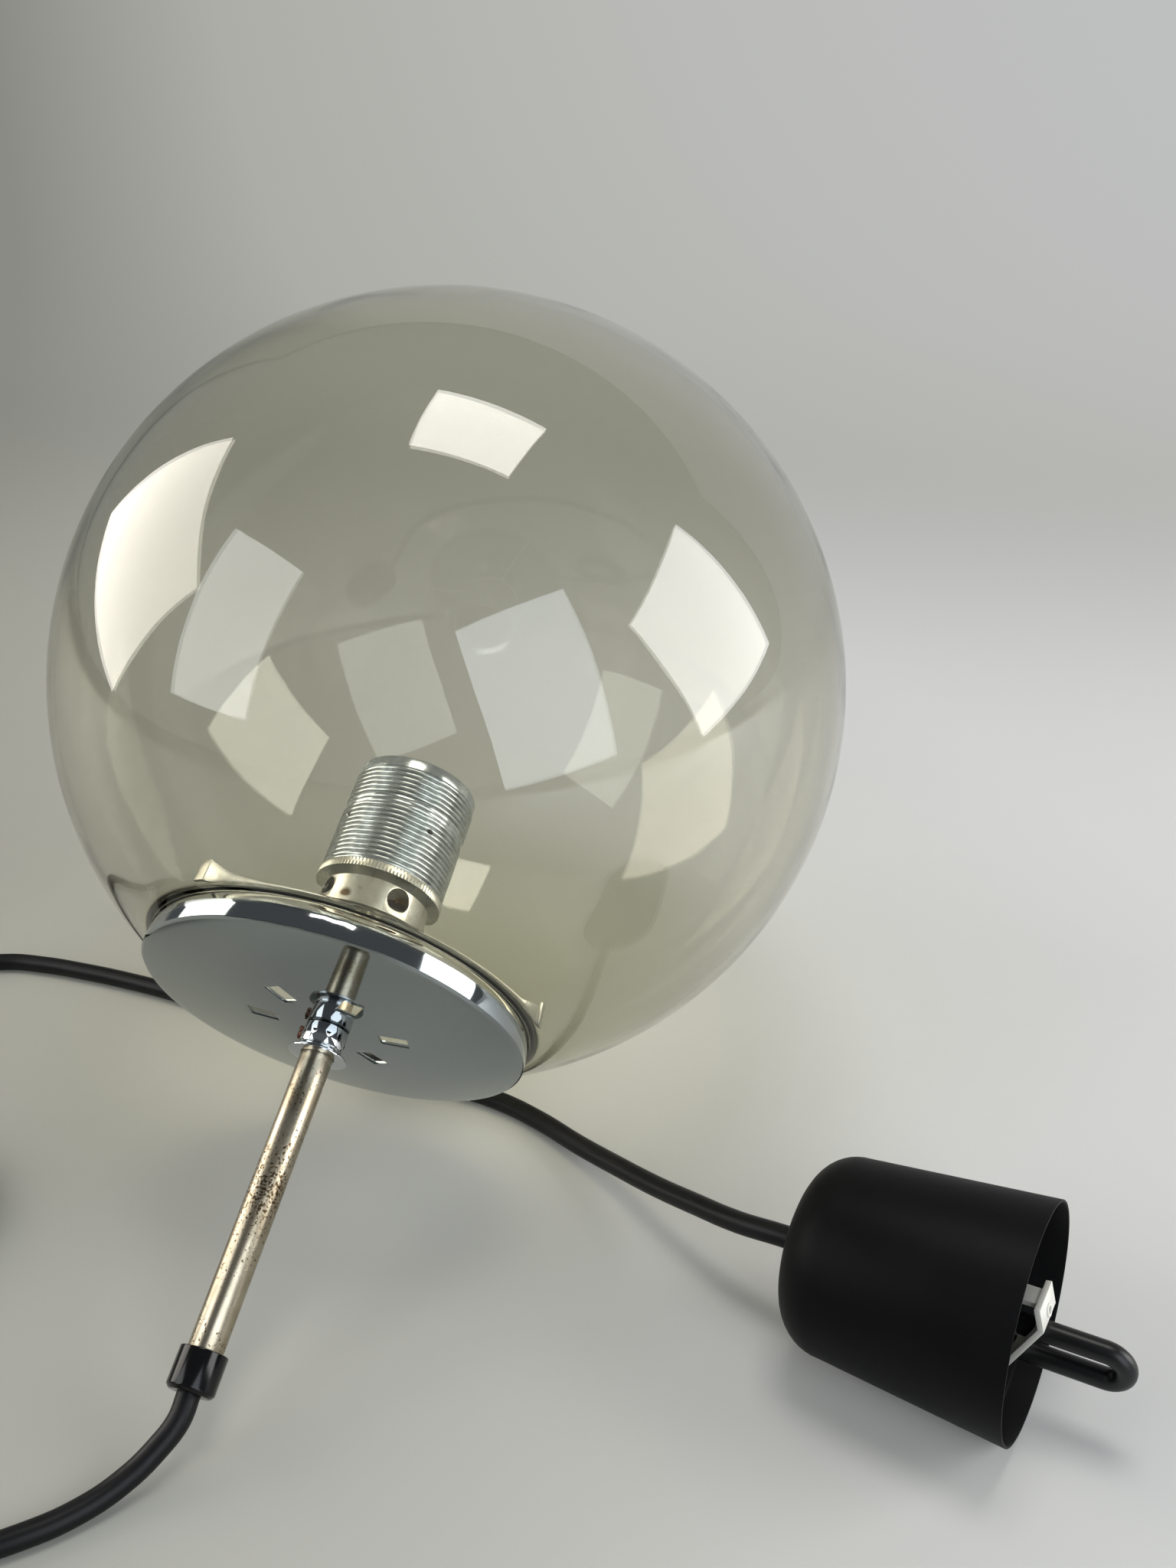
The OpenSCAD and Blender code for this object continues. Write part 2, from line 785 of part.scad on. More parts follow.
module cup_place() {
    translate([cup_x, cup_y, cup_r * cos(cup_slope)])
        rotate([0, 90 - cup_slope, cup_turn]) children();
}

module cup_profile(inset) {
    side = crown_r - inset;
    round_r = crown_round - inset;
    base = -cup_h + inset;
    steps = 10;
    corner = [for (i = [0 : steps]) [
        side - round_r * (1 - sin(90 * i / steps)),
        base + round_r * (1 - cos(90 * i / steps))
    ]];
    polygon(concat([[0, base]], corner, [[cup_r - inset, 0], [0, 0]]));
}

module ceiling_cup() {
    ledge_down = 7;
    ledge = 0.8;
    color("#1b1b1c") cup_place() difference() {
        rotate_extrude($fn = fine) cup_profile(0);
        rotate_extrude($fn = fine) cup_profile(cup_wall);
        translate([0, 0, -cup_h - eps]) cylinder(d = cup_hole_d, h = 2 * cup_wall);
        translate([0, 0, -ledge_down]) cylinder(r = cup_r - cup_wall / 2, h = ledge_down + eps);
    }
}

// The strap's bend stands just outside the rim, where the loop's upper leg goes through
bend_out = 3;
bend_x = -3;
loop_drop = 2;
loop_hole_gap = 0.15;
loop_r = loop_d / 2;
loop_top_z = -4.5;
loop_foot_z = -10;

// The strap's two legs seen from the side, as one bent strip
module strap_shape() {
    bend = [bend_x, bend_out];
    up_end = bend - strap_up_l * [cos(strap_up_slope), sin(strap_up_slope)];
    low_end = bend + strap_low_l * [cos(strap_low_slope), -sin(strap_low_slope)];
    inner_turn = (strap_up_slope - strap_low_slope) / 2;
    inner_reach = strap_t / cos((strap_up_slope + strap_low_slope) / 2);
    polygon([
        up_end,
        bend,
        low_end,
        low_end - strap_t * [sin(strap_low_slope), cos(strap_low_slope)],
        bend + inner_reach * [sin(inner_turn), -cos(inner_turn)],
        up_end + strap_t * [sin(strap_up_slope), -cos(strap_up_slope)]
    ]);
}

// The loop's two legs, the upper one on the cup's middle line and the lower one turned about it
module loop_place() {
    translate([loop_drop, 0, 0]) rotate(loop_turn) children();
}

grip_top = -18;
grip_gap = 0.1;
grip_bore_r = cord_r + grip_gap;
grip_hold = 0.6;
eyelet_at = 2.6;
eyelet_out = 0.5;

// The middle of the eyelet in the upper leg, its bore square to the leg
module eyelet_place() {
    translate([bend_x, 0, bend_out]) rotate([0, 0, 180]) rotate([0, strap_up_slope, 0])
        translate([eyelet_at, 0, -strap_t / 2]) children();
}

module grip_strap() {
    stay_x = bend_x - strap_up_l * cos(strap_up_slope) + strap_t / 2;
    stay_w = strap_w / 2;
    stay_top = bend_out - strap_up_l * sin(strap_up_slope) - strap_t / 2;
    color("#d8d6cc") cup_place() difference() {
        union() {
            rotate([90, 0, 0]) linear_extrude(height = strap_w, center = true) strap_shape();
            eyelet_place() cylinder(d = eyelet_d, h = strap_t + 2 * eyelet_out, center = true);
            translate([0, 0, grip_top - grip_l]) cylinder(d = grip_d, h = grip_l);
            translate([stay_x, -stay_w / 2, grip_top - grip_l])
                cube([strap_t, stay_w, stay_top - grip_top + grip_l]);
            translate([stay_x, -stay_w / 2, grip_top - grip_l])
                cube([-stay_x - cord_r - grip_hold, stay_w, grip_l]);
        }
        eyelet_place() cylinder(d = eyelet_bore, h = 3 * strap_t, center = true);
        translate([0, 0, grip_top - grip_l - eps]) cylinder(r = grip_bore_r, h = grip_l + 2 * eps);
        loop_place() for (down = [0, loop_pitch])
            translate([down, 0, loop_foot_z - eps])
                cylinder(r = loop_r + loop_hole_gap, h = loop_reach);
    }
}

module hanging_loop() {
    bow_r = loop_pitch / 2;
    bow_z = loop_reach - bow_r - loop_r;
    color("#141414") cup_place() loop_place() translate([bow_r, 0, 0]) {
        translate([-bow_r, 0, loop_top_z]) cylinder(r = loop_r, h = bow_z - loop_top_z);
        translate([bow_r, 0, loop_foot_z]) cylinder(r = loop_r, h = bow_z - loop_foot_z);
        translate([0, 0, bow_z]) rotate([90, 0, 0]) intersection() {
            rotate_extrude() translate([bow_r, 0]) circle(r = loop_r);
            translate([-loop_pitch, 0, -loop_d]) cube([2 * loop_pitch, loop_pitch, 2 * loop_d]);
        }
    }
}

// Terminal block beside the cord inside the cup
block_y = 13;
block_z = -32;

module terminal_block() {
    ways = 3;
    color("#d9d4c4") cup_place() translate([0, block_y, block_z]) difference() {
        translate([-block_w / 2, -block_t / 2, 0]) cube([block_w, block_t, block_l]);
        for (i = [0 : ways - 1])
            translate([(i - 1) * block_pitch, 0, -eps]) cylinder(d = block_bore, h = block_l + 2 * eps);
        for (i = [0 : ways - 1], end = [block_l / 4, block_l * 3 / 4])
            translate([(i - 1) * block_pitch, 0, end]) rotate([-90, 0, 0])
                cylinder(d = block_screw_d + 2 * seat_gap, h = block_t);
    }
}

block_pitch = 6;
block_screw_d = 2.4;
block_screw_l = 2.6;

module block_screws() {
    color("#b9b4a6") cup_place() for (i = [-1 : 1], end = [block_l / 4, block_l * 3 / 4])
        translate([i * block_pitch, block_y + block_t / 2 - block_screw_l, block_z + end])
            rotate([-90, 0, 0]) cylinder(d = block_screw_d, h = block_screw_l);
}

cord_proud = 0.6;
cord_end_z = grip_top + cord_proud;

module cup_core(way) {
    out = cord_end_z + seat_gap;
    turn_z = out + core_d;
    start = core_at(90 - way * 120);
    spread = way * (core_off + core_d);
    core_run([
        [start[0], start[1], out],
        [start[0], start[1], turn_z - core_r],
        [spread, start[1] + core_d, turn_z + core_r],
        [way * block_pitch, block_y - core_d, turn_z + core_r],
        [way * block_pitch, block_y, turn_z - core_r],
        [way * block_pitch, block_y, block_z + block_l + seat_gap]
    ], [1, 0, 0]);
}

module cup_live_core() {
    color("#6e4326") cup_place() cup_core(1);
}

module cup_neutral_core() {
    color("#2f5fa8") cup_place() cup_core(-1);
}

module cup_earth_core() {
    color("#5f9a3a") cup_place() cup_core(0);
}

// Cord: tubes swept along points, with a ring of corners square to the path at each point

function unit(v) = v / norm(v);
function path_dir(p, i) = i == 0 ? unit(p[1] - p[0])
    : i == len(p) - 1 ? unit(p[i] - p[i - 1])
    : unit(unit(p[i + 1] - p[i]) + unit(p[i] - p[i - 1]));
function ring_at(c, d, r, sides, up) = let (s = unit(cross(up, d)), u = cross(d, s))
    [for (k = [0 : sides - 1]) let (a = 90 + 360 * k / sides) c + r * (cos(a) * s + sin(a) * u)];

module swept_tube(path, r, sides, up = [0, 0, 1]) {
    rings = len(path);
    points = [for (i = [0 : rings - 1]) each ring_at(path[i], path_dir(path, i), r, sides, up)];
    last = (rings - 1) * sides;
    walls = [for (i = [0 : rings - 2], k = [0 : sides - 1]) let (
        a = i * sides + k, b = i * sides + (k + 1) % sides)
        each [[a, a + sides, b], [b, a + sides, b + sides]]];
    start = [for (k = [1 : sides - 2]) [0, k, k + 1]];
    end = [for (k = [1 : sides - 2]) [last, last + k + 1, last + k]];
    polyhedron(points = points, faces = concat(walls, start, end), convexity = 6);
}

// Where the cord leaves the end cap, and one cord diameter further on
lamp_dir = [0, -cos(lamp_tilt), -sin(lamp_tilt)];
exit_point = [0, globe_y, globe_r] + endcap_top_z * lamp_dir;
exit_end = exit_point + cord_d * lamp_dir;

// Coil: spirals in, climbs a layer in the half turn where it reverses, and spirals out
coil_x = -150;
coil_y = -130;
coil_step = cord_d + coil_room;
coil_turn_rings = 24;
coil_sides = 6;
coil_half = coil_loops / 2;
climb_half = 0.25;
coil_out_r = coil_d / 2 + coil_step * coil_half / 2;

function climb(t) = min(max((t - coil_half + climb_half) / (2 * climb_half), 0), 1);
function coil_point(t) = let (
    r = coil_out_r - coil_step * (coil_half - abs(t - coil_half)),
    a = 180 - 360 * t)
    [coil_x + r * cos(a), coil_y + r * sin(a), cord_r + coil_step * climb(t)];

coil_rings = coil_loops * coil_turn_rings;
coil_first = coil_point(0);
coil_last = coil_point(coil_loops);
coil_path = concat(
    [coil_first - [0, cord_d, 0]],
    [for (i = [0 : coil_rings]) coil_point(i / coil_turn_rings)],
    [coil_last + [0, cord_d, 0]]
);

// Least gap of the coil's tube to itself, between rings more than a third of a turn apart
coil_gap = min([for (i = [0 : 2 : coil_rings], j = [i + coil_turn_rings / 3 : 1 : coil_rings])
    norm(coil_path[i] - coil_path[j])]) - cord_d;
echo(coil_least_gap = coil_gap);

// Route from the end cap to the coil, lying on the table
lay_gap = 0.05;
lay_z = cord_r + lay_gap;
lamp_route = [
    exit_point,
    exit_end,
    [-2, -181, 8],
    [-6, -191, 5],
    [-13, -202, lay_z],
    [-23, -212, lay_z],
    [-36, -221, lay_z],
    [-53, -228, lay_z],
    [-71, -232, lay_z],
    [-90, -233, lay_z],
    [-109, -231, lay_z],
    [-128, -226, lay_z],
    [-146, -217, lay_z],
    [-162, -205, lay_z],
    [-175, -190, lay_z],
    [-184.5, -173, lay_z],
    [-189.5, -157, lay_z],
    coil_first - [0, 2 * cord_d, 0],
    coil_first - [0, cord_d, 0]
];

// Route from the coil to the point where the cord turns into the line of the cup
cup_route = [
    coil_last + [0, cord_d, 0],
    coil_last + [0, 2 * cord_d, 0],
    [-192.5, -103, 8.5],
    [-196, -90, 6],
    [-202, -72, 4],
    [-208, -54, lay_z],
    [-212, -36, lay_z],
    [-211, -18, lay_z],
    [-203, -2, lay_z],
    [-189, 7, lay_z],
    [-172, 10, lay_z],
    [-154, 10.5, lay_z],
    [-135, 10, lay_z],
    [-116, 8.5, lay_z],
    [-97, 6, lay_z],
    [-78, 3, lay_z],
    [-59, -1, lay_z],
    [-40, -5, lay_z],
    [-21, -9, lay_z],
    [-2, -12, lay_z],
    [16, -14, lay_z],
    [33, -17, lay_z],
    [49, -23, 3.6],
    [65, -32, 5],
    [81, -42, 8.5],
    [97, -53, 13.5],
    [112, -63, 19],
    [127, -72, 24]
];

function on_cup(z) = [cup_x, cup_y, cup_r * cos(cup_slope)]
    + z * [cos(cup_slope) * cos(cup_turn), cos(cup_slope) * sin(cup_turn), sin(cup_slope)];

cup_run = [for (z = [-cup_h - cord_d, -cup_h * 2 / 3, -cup_h / 3, cord_end_z]) on_cup(z)];

module cord_lamp_side() {
    color("#151515") swept_tube(lamp_route, cord_r, cord_sides);
}

module cord_coil() {
    color("#151515") swept_tube(coil_path, cord_r, coil_sides);
}

module cord_cup_side() {
    color("#151515") swept_tube(concat(cup_route, cup_run), cord_r, cord_sides);
}

globe();
cover_plate();
set_collar();
grub_screw();
stem_tube();
stem_end_cap();
arm_hub();
glass_arm(1);  // glass_arm_1
glass_arm(2);  // glass_arm_2
glass_arm(3);  // glass_arm_3
arm_rivets();
lock_nut();
holder_cap();
threaded_shell();
insulating_ring();
screw_shell();
ceramic_insert();
contact_tongue();
terminal_screws();
earth_screw();
live_core();
neutral_core();
earth_core();
stem_lead();
cord_lamp_side();
cord_coil();
cord_cup_side();
ceiling_cup();
grip_strap();
hanging_loop();
terminal_block();
block_screws();
cup_live_core();
cup_neutral_core();
cup_earth_core();
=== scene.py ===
# Globe pendant light, taken down and lying on a table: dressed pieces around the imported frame
import math

import bpy
from mathutils import Matrix, Vector


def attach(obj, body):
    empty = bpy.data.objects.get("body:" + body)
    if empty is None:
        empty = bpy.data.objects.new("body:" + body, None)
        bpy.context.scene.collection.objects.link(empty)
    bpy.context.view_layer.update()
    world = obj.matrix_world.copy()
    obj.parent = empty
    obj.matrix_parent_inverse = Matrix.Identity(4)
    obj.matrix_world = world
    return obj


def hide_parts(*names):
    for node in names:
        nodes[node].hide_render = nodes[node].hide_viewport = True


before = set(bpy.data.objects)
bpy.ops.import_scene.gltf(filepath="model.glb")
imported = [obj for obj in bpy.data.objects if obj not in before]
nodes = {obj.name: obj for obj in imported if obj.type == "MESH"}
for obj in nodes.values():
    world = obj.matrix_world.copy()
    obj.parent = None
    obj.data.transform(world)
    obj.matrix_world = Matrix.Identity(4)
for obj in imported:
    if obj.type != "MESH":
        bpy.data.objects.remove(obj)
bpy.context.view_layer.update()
mm = 0.001
print("frame loaded with", len(nodes), "nodes")

# Shared places: the lamp hangs along its own axis in the maker's drawing and lies tilted here
lamp = {
    "globeY": 36.7521,  # mm, middle of the globe
    "globeR": 133.0,
    "lean": 120.0,  # degrees about X, from upright to lying
}
cup = {
    "middle": (211.0, -94.0, 32.4247),  # mm, middle of the rim
    "slope": 3.9005,  # degrees that its axis rises, since it rests on its side
    "turn": -13.4,
}
globeMiddle = Vector((0, lamp["globeY"], lamp["globeR"])) * mm
lampPlace = Matrix.Translation(globeMiddle) @ Matrix.Rotation(math.radians(lamp["lean"]), 4, "X")
cupPlace = (
    Matrix.Translation(Vector(cup["middle"]) * mm)
    @ Matrix.Rotation(math.radians(cup["turn"]), 4, "Z")
    @ Matrix.Rotation(math.radians(90 - cup["slope"]), 4, "Y")
)


def onLamp(x, y, z):
    return lampPlace @ (Vector((x, y, z)) * mm)


def onCup(x, y, z):
    return cupPlace @ (Vector((x, y, z)) * mm)


# Camera, at the photograph's angle
view = {
    "place": (0.1788, -0.39395, 0.3309),
    "forward": (-0.2598, 0.8542, -0.4503),
    "right": (0.9567, 0.2911, 0.0),
    "lens": 33.398,
    "sensor": 36,
    "clip": (0.01, 20),
}
cameraData = bpy.data.cameras.new("photoCamera")
camera = bpy.data.objects.new("photoCamera", cameraData)
bpy.context.scene.collection.objects.link(camera)
cameraData.lens = view["lens"]
cameraData.sensor_width = view["sensor"]
cameraData.clip_start, cameraData.clip_end = view["clip"]
backward = -Vector(view["forward"]).normalized()
rightward = Vector(view["right"]).normalized()
upward = backward.cross(rightward)
turnMatrix = Matrix((rightward, upward, backward)).transposed()
camera.matrix_world = Matrix.Translation(view["place"]) @ turnMatrix.to_4x4()
bpy.context.scene.camera = camera
print("camera placed")


# Materials: sizes of patterns are in mm across, and depths in mm
def linear(hexColour):
    # sRGB hex to linear
    parts = [int(hexColour[i:i + 2], 16) / 255 for i in (1, 3, 5)]
    return [c / 12.92 if c <= 0.04045 else ((c + 0.055) / 1.055) ** 2.4 for c in parts] + [1.0]


def fill(node, inputs):
    # Sets each input to a value, or links it to an output or to another node's first output
    for name, value in inputs.items():
        if isinstance(value, bpy.types.Node):
            value = value.outputs[0]
        if isinstance(value, bpy.types.NodeSocket):
            node.id_data.links.new(value, node.inputs[name])
        else:
            node.inputs[name].default_value = value


def addNode(tree, kind, inputs=None, stops=(), **settings):
    # Adds a node with its settings, its inputs and, on a ramp, its colours
    made = tree.nodes.new(kind)
    for name, value in settings.items():
        setattr(made, name, value)
    fill(made, inputs or {})
    if stops:
        elements = made.color_ramp.elements
        while len(elements) < len(stops):
            elements.new(0.5)
        for element, (position, colour) in zip(elements, stops):
            element.position = position
            element.color = linear(colour)
    return made


def startMaterial(name, place=None):
    # A node material with its shader, and Object coordinates in millimetres along the piece's own axis
    material = bpy.data.materials.new(name)
    material.use_nodes = True
    tree = material.node_tree
    settings = {"Vector": addNode(tree, "ShaderNodeTexCoord").outputs["Object"], "Scale": [1 / mm] * 3}
    if place is not None:
        inverse = place.inverted()
        settings["Rotation"] = inverse.to_euler()
        settings["Location"] = inverse.to_translation() / mm
    return material, tree, tree.nodes["Principled BSDF"], addNode(tree, "ShaderNodeMapping", settings)


def spots(tree, vector, places, radius):
    # 1 at each place on the piece, fading to 0 within the radius
    nearest = None
    for spot in places:
        apart = addNode(tree, "ShaderNodeVectorMath", {0: vector, 1: spot}, operation="DISTANCE")
        away = apart.outputs["Value"]
        if nearest is not None:
            away = addNode(tree, "ShaderNodeMath", {0: nearest, 1: away}, operation="MINIMUM")
        nearest = away
    return addNode(tree, "ShaderNodeMapRange", {
        "Value": nearest, "From Min": radius / 2, "From Max": radius, "To Min": 1.0, "To Max": 0.0})


def onRing(radius, turn, height):
    # A place on the lamp, by its distance from the axis, degrees round it and height
    a = math.radians(turn)
    return (radius * math.cos(a), radius * math.sin(a), height)


def smokedGlass():
    # Blown glass tinted right through: darker where the eye looks along the wall, and a little wavy
    finish = {
        "surface": "#f1f1eb",
        "tint": "#b4b193",
        "density": 60.0,
        "shadow": "#e9e8e2",
        "waveSize": 34.0,
        "waveDepth": 0.12,
    }
    material, tree, shader, place = startMaterial("smokedGlass", lampPlace)
    waves = addNode(tree, "ShaderNodeTexNoise", {
        "Vector": place, "Scale": 1 / finish["waveSize"], "Detail": 1})
    fill(shader, {
        "Base Color": linear(finish["surface"]),
        "Roughness": 0.0,
        "IOR": 1.5,
        "Transmission Weight": 1.0,
        "Normal": addNode(tree, "ShaderNodeBump", {
            "Height": waves, "Distance": finish["waveDepth"] * mm, "Strength": 1.0}),
    })
    # Light from the lamps goes straight through to what is inside and below
    rays = addNode(tree, "ShaderNodeLightPath")
    clear = addNode(tree, "ShaderNodeBsdfTransparent", {"Color": linear(finish["shadow"])})
    surface = addNode(tree, "ShaderNodeMixShader", {0: rays.outputs["Is Shadow Ray"], 1: shader, 2: clear})
    tinted = addNode(tree, "ShaderNodeVolumeAbsorption", {
        "Color": linear(finish["tint"]), "Density": finish["density"]})
    fill(tree.nodes["Material Output"], {"Surface": surface, "Volume": tinted})
    return material


def chrome(name, colour, haze):
    # Chromium plate on turned steel: a mirror with hairlines and a little haze
    finish = {
        "cloudSize": 14,
        "hairlineSize": 0.5,  # coarser than real polishing marks, so that they show
        "hairlineStretch": (1, 0.05, 1),
        "hairlineDepth": 0.002,
        "hairlineStrength": 0.15,
    }
    material, tree, shader, place = startMaterial(name, lampPlace)
    cloud = addNode(tree, "ShaderNodeTexNoise", {
        "Vector": place, "Scale": 1 / finish["cloudSize"], "Detail": 4})
    drawnOut = addNode(tree, "ShaderNodeMapping", {"Vector": place, "Scale": finish["hairlineStretch"]})
    hairlines = addNode(tree, "ShaderNodeTexNoise", {
        "Vector": drawnOut, "Scale": 1 / finish["hairlineSize"], "Detail": 2})
    fill(shader, {
        "Base Color": linear(colour),
        "Metallic": 1.0,
        "Roughness": addNode(tree, "ShaderNodeMapRange", {
            "Value": cloud, "To Min": haze[0], "To Max": haze[1]}),
        "Normal": addNode(tree, "ShaderNodeBump", {
            "Height": hairlines, "Distance": finish["hairlineDepth"] * mm,
            "Strength": finish["hairlineStrength"]}),
    })
    return material


def agedNickel():
    # Nickel plate gone yellow-grey, with dark pits in patches
    finish = {
        "tones": [(0.3, "#b9b09c"), (0.7, "#9c9079")],
        "toneSize": 9,
        "pit": "#4c3d2b",
        "pitSize": 0.8,
        "pitDepth": -0.05,
        "patchSize": 26,
        "patchStretch": (1, 1, 0.5),
        "pitted": (1.1, 1.2),  # pits and patches together, from sound plate to bare
        "rough": (0.22, 0.34),
    }
    material, tree, shader, place = startMaterial("agedNickel", lampPlace)
    tone = addNode(tree, "ShaderNodeTexNoise", {
        "Vector": place, "Scale": 1 / finish["toneSize"], "Detail": 4})
    pits = addNode(tree, "ShaderNodeTexNoise", {"Vector": place, "Scale": 1 / finish["pitSize"], "Detail": 3})
    drawnOut = addNode(tree, "ShaderNodeMapping", {"Vector": place, "Scale": finish["patchStretch"]})
    patches = addNode(tree, "ShaderNodeTexNoise", {
        "Vector": drawnOut, "Scale": 1 / finish["patchSize"], "Detail": 3})
    together = addNode(tree, "ShaderNodeMath", {0: pits, 1: patches}, operation="ADD")
    pitted = addNode(tree, "ShaderNodeMapRange", {
        "Value": together, "From Min": finish["pitted"][0], "From Max": finish["pitted"][1]})
    colour = addNode(tree, "ShaderNodeValToRGB", {"Fac": tone}, finish["tones"])
    fill(shader, {
        "Base Color": addNode(tree, "ShaderNodeMix", {
            0: pitted, 6: colour, 7: linear(finish["pit"])}, data_type="RGBA").outputs[2],
        "Metallic": 1.0,
        "Roughness": addNode(tree, "ShaderNodeMapRange", {
            "Value": tone, "To Min": finish["rough"][0], "To Max": finish["rough"][1]}),
        "Normal": addNode(tree, "ShaderNodeBump", {
            "Height": pitted, "Distance": finish["pitDepth"] * mm, "Strength": 0.4}),
    })
    return material


def creamNickel():
    # Nickel on brass, faded to a warm grey, with two brown places where it has worn through
    finish = {
        "tones": [(0.25, "#d8d6cd"), (0.62, "#bfbbae"), (0.8, "#938a75")],
        "toneSize": 5,
        "worn": "#5f4d37",
        "wornPlaces": [onRing(17, 100, 91.5), onRing(17, 218, 90)],
        "wornRadius": 2.6,
        "rough": (0.2, 0.4),
    }
    material, tree, shader, place = startMaterial("creamNickel", lampPlace)
    tone = addNode(tree, "ShaderNodeTexNoise", {
        "Vector": place, "Scale": 1 / finish["toneSize"], "Detail": 4})
    colour = addNode(tree, "ShaderNodeValToRGB", {"Fac": tone}, finish["tones"])
    worn = spots(tree, place, finish["wornPlaces"], finish["wornRadius"])
    fill(shader, {
        "Base Color": addNode(tree, "ShaderNodeMix", {
            0: worn, 6: colour, 7: linear(finish["worn"])}, data_type="RGBA").outputs[2],
        "Metallic": 1.0,
        "Roughness": addNode(tree, "ShaderNodeMapRange", {
            "Value": tone, "To Min": finish["rough"][0], "To Max": finish["rough"][1]}),
    })
    return material


def zinc():
    # Zinc plate on rolled steel: cool grey, cloudy, with two stake marks, dented and darkened with painted
    # shade in the dents
    finish = {
        "tones": [(0.3, "#ccd1d3"), (0.7, "#a9aeb1")],
        "toneSize": 3,
        "stake": "#57544f",
        "stakePlaces": [onRing(19.8, 41, 64.2), onRing(19.8, 128, 63.2)],
        "stakeRadius": 1.1,
        "stakeDepth": -0.4,
        "rough": (0.12, 0.24),
    }
    material, tree, shader, place = startMaterial("zincPlate", lampPlace)
    tone = addNode(tree, "ShaderNodeTexNoise", {
        "Vector": place, "Scale": 1 / finish["toneSize"], "Detail": 5})
    colour = addNode(tree, "ShaderNodeValToRGB", {"Fac": tone}, finish["tones"])
    stakeDentsAndShade = spots(tree, place, finish["stakePlaces"], finish["stakeRadius"])
    fill(shader, {
        "Base Color": addNode(tree, "ShaderNodeMix", {
            # painted shade in the stake dents
            0: stakeDentsAndShade, 6: colour, 7: linear(finish["stake"])}, data_type="RGBA").outputs[2],
        "Metallic": 1.0,
        "Roughness": addNode(tree, "ShaderNodeMapRange", {
            "Value": tone, "To Min": finish["rough"][0], "To Max": finish["rough"][1]}),
        "Normal": addNode(tree, "ShaderNodeBump", {
            "Height": stakeDentsAndShade, "Distance": finish["stakeDepth"] * mm, "Strength": 0.6}),
    })
    return material


def rustySteel():
    # Bare steel screw, rusted brown and rough
    finish = {
        "tones": [(0.35, "#3c241a"), (0.5, "#6f4330"), (0.68, "#a08a7a")],
        "grainSize": 0.8,
        "grainDepth": 0.2,
    }
    material, tree, shader, place = startMaterial("rustySteel", lampPlace)
    grain = addNode(tree, "ShaderNodeTexNoise", {
        "Vector": place, "Scale": 1 / finish["grainSize"], "Detail": 5})
    fill(shader, {
        "Base Color": addNode(tree, "ShaderNodeValToRGB", {"Fac": grain}, finish["tones"]),
        "Metallic": 0.3,
        "Roughness": 0.75,
        "Normal": addNode(tree, "ShaderNodeBump", {
            "Height": grain, "Distance": finish["grainDepth"] * mm, "Strength": 0.8}),
    })
    return material


def brass():
    # Pressed brass strip, a little dull
    finish = {"tones": [(0.3, "#d0ac5e"), (0.75, "#a5803c")], "toneSize": 4}
    material, tree, shader, place = startMaterial("brassSheet", lampPlace)
    tone = addNode(tree, "ShaderNodeTexNoise", {
        "Vector": place, "Scale": 1 / finish["toneSize"], "Detail": 3})
    fill(shader, {
        "Base Color": addNode(tree, "ShaderNodeValToRGB", {"Fac": tone}, finish["tones"]),
        "Metallic": 1.0,
        "Roughness": 0.3,
    })
    return material


def porcelain():
    # Glazed steatite: off-white, with faint specks under the glaze
    finish = {"tones": [(0.3, "#ece6d8"), (0.72, "#e0d8c6"), (0.8, "#b9ab92")], "speckSize": 1.2}
    material, tree, shader, place = startMaterial("glazedPorcelain", lampPlace)
    specks = addNode(tree, "ShaderNodeTexNoise", {
        "Vector": place, "Scale": 1 / finish["speckSize"], "Detail": 4})
    fill(shader, {
        "Base Color": addNode(tree, "ShaderNodeValToRGB", {"Fac": specks}, finish["tones"]),
        "Roughness": 0.18,
        "Coat Weight": 0.5,
    })
    return material


def mouldedPlastic(name, place, colours, rough, grain, specular):
    # Moulded plastic: an even colour with the fine grain of the mould and dull rubbed places
    finish = {"cloudSize": 22, "cloudEnds": (0.3, 0.72), "grainStrength": 0.5}
    material, tree, shader, vector = startMaterial(name, place)
    cloud = addNode(tree, "ShaderNodeTexNoise", {
        "Vector": vector, "Scale": 1 / finish["cloudSize"], "Detail": 4})
    grainSize, grainDepth = grain
    grains = addNode(tree, "ShaderNodeTexNoise", {"Vector": vector, "Scale": 1 / grainSize, "Detail": 2})
    tones = list(zip(finish["cloudEnds"], colours))
    fill(shader, {
        "Base Color": addNode(tree, "ShaderNodeValToRGB", {"Fac": cloud}, tones),
        "Roughness": addNode(tree, "ShaderNodeMapRange", {
            "Value": cloud, "To Min": rough[0], "To Max": rough[1]}),
        "Specular IOR Level": specular,
        "Normal": addNode(tree, "ShaderNodeBump", {
            "Height": grains, "Distance": grainDepth * mm, "Strength": finish["grainStrength"]}),
    })
    return material


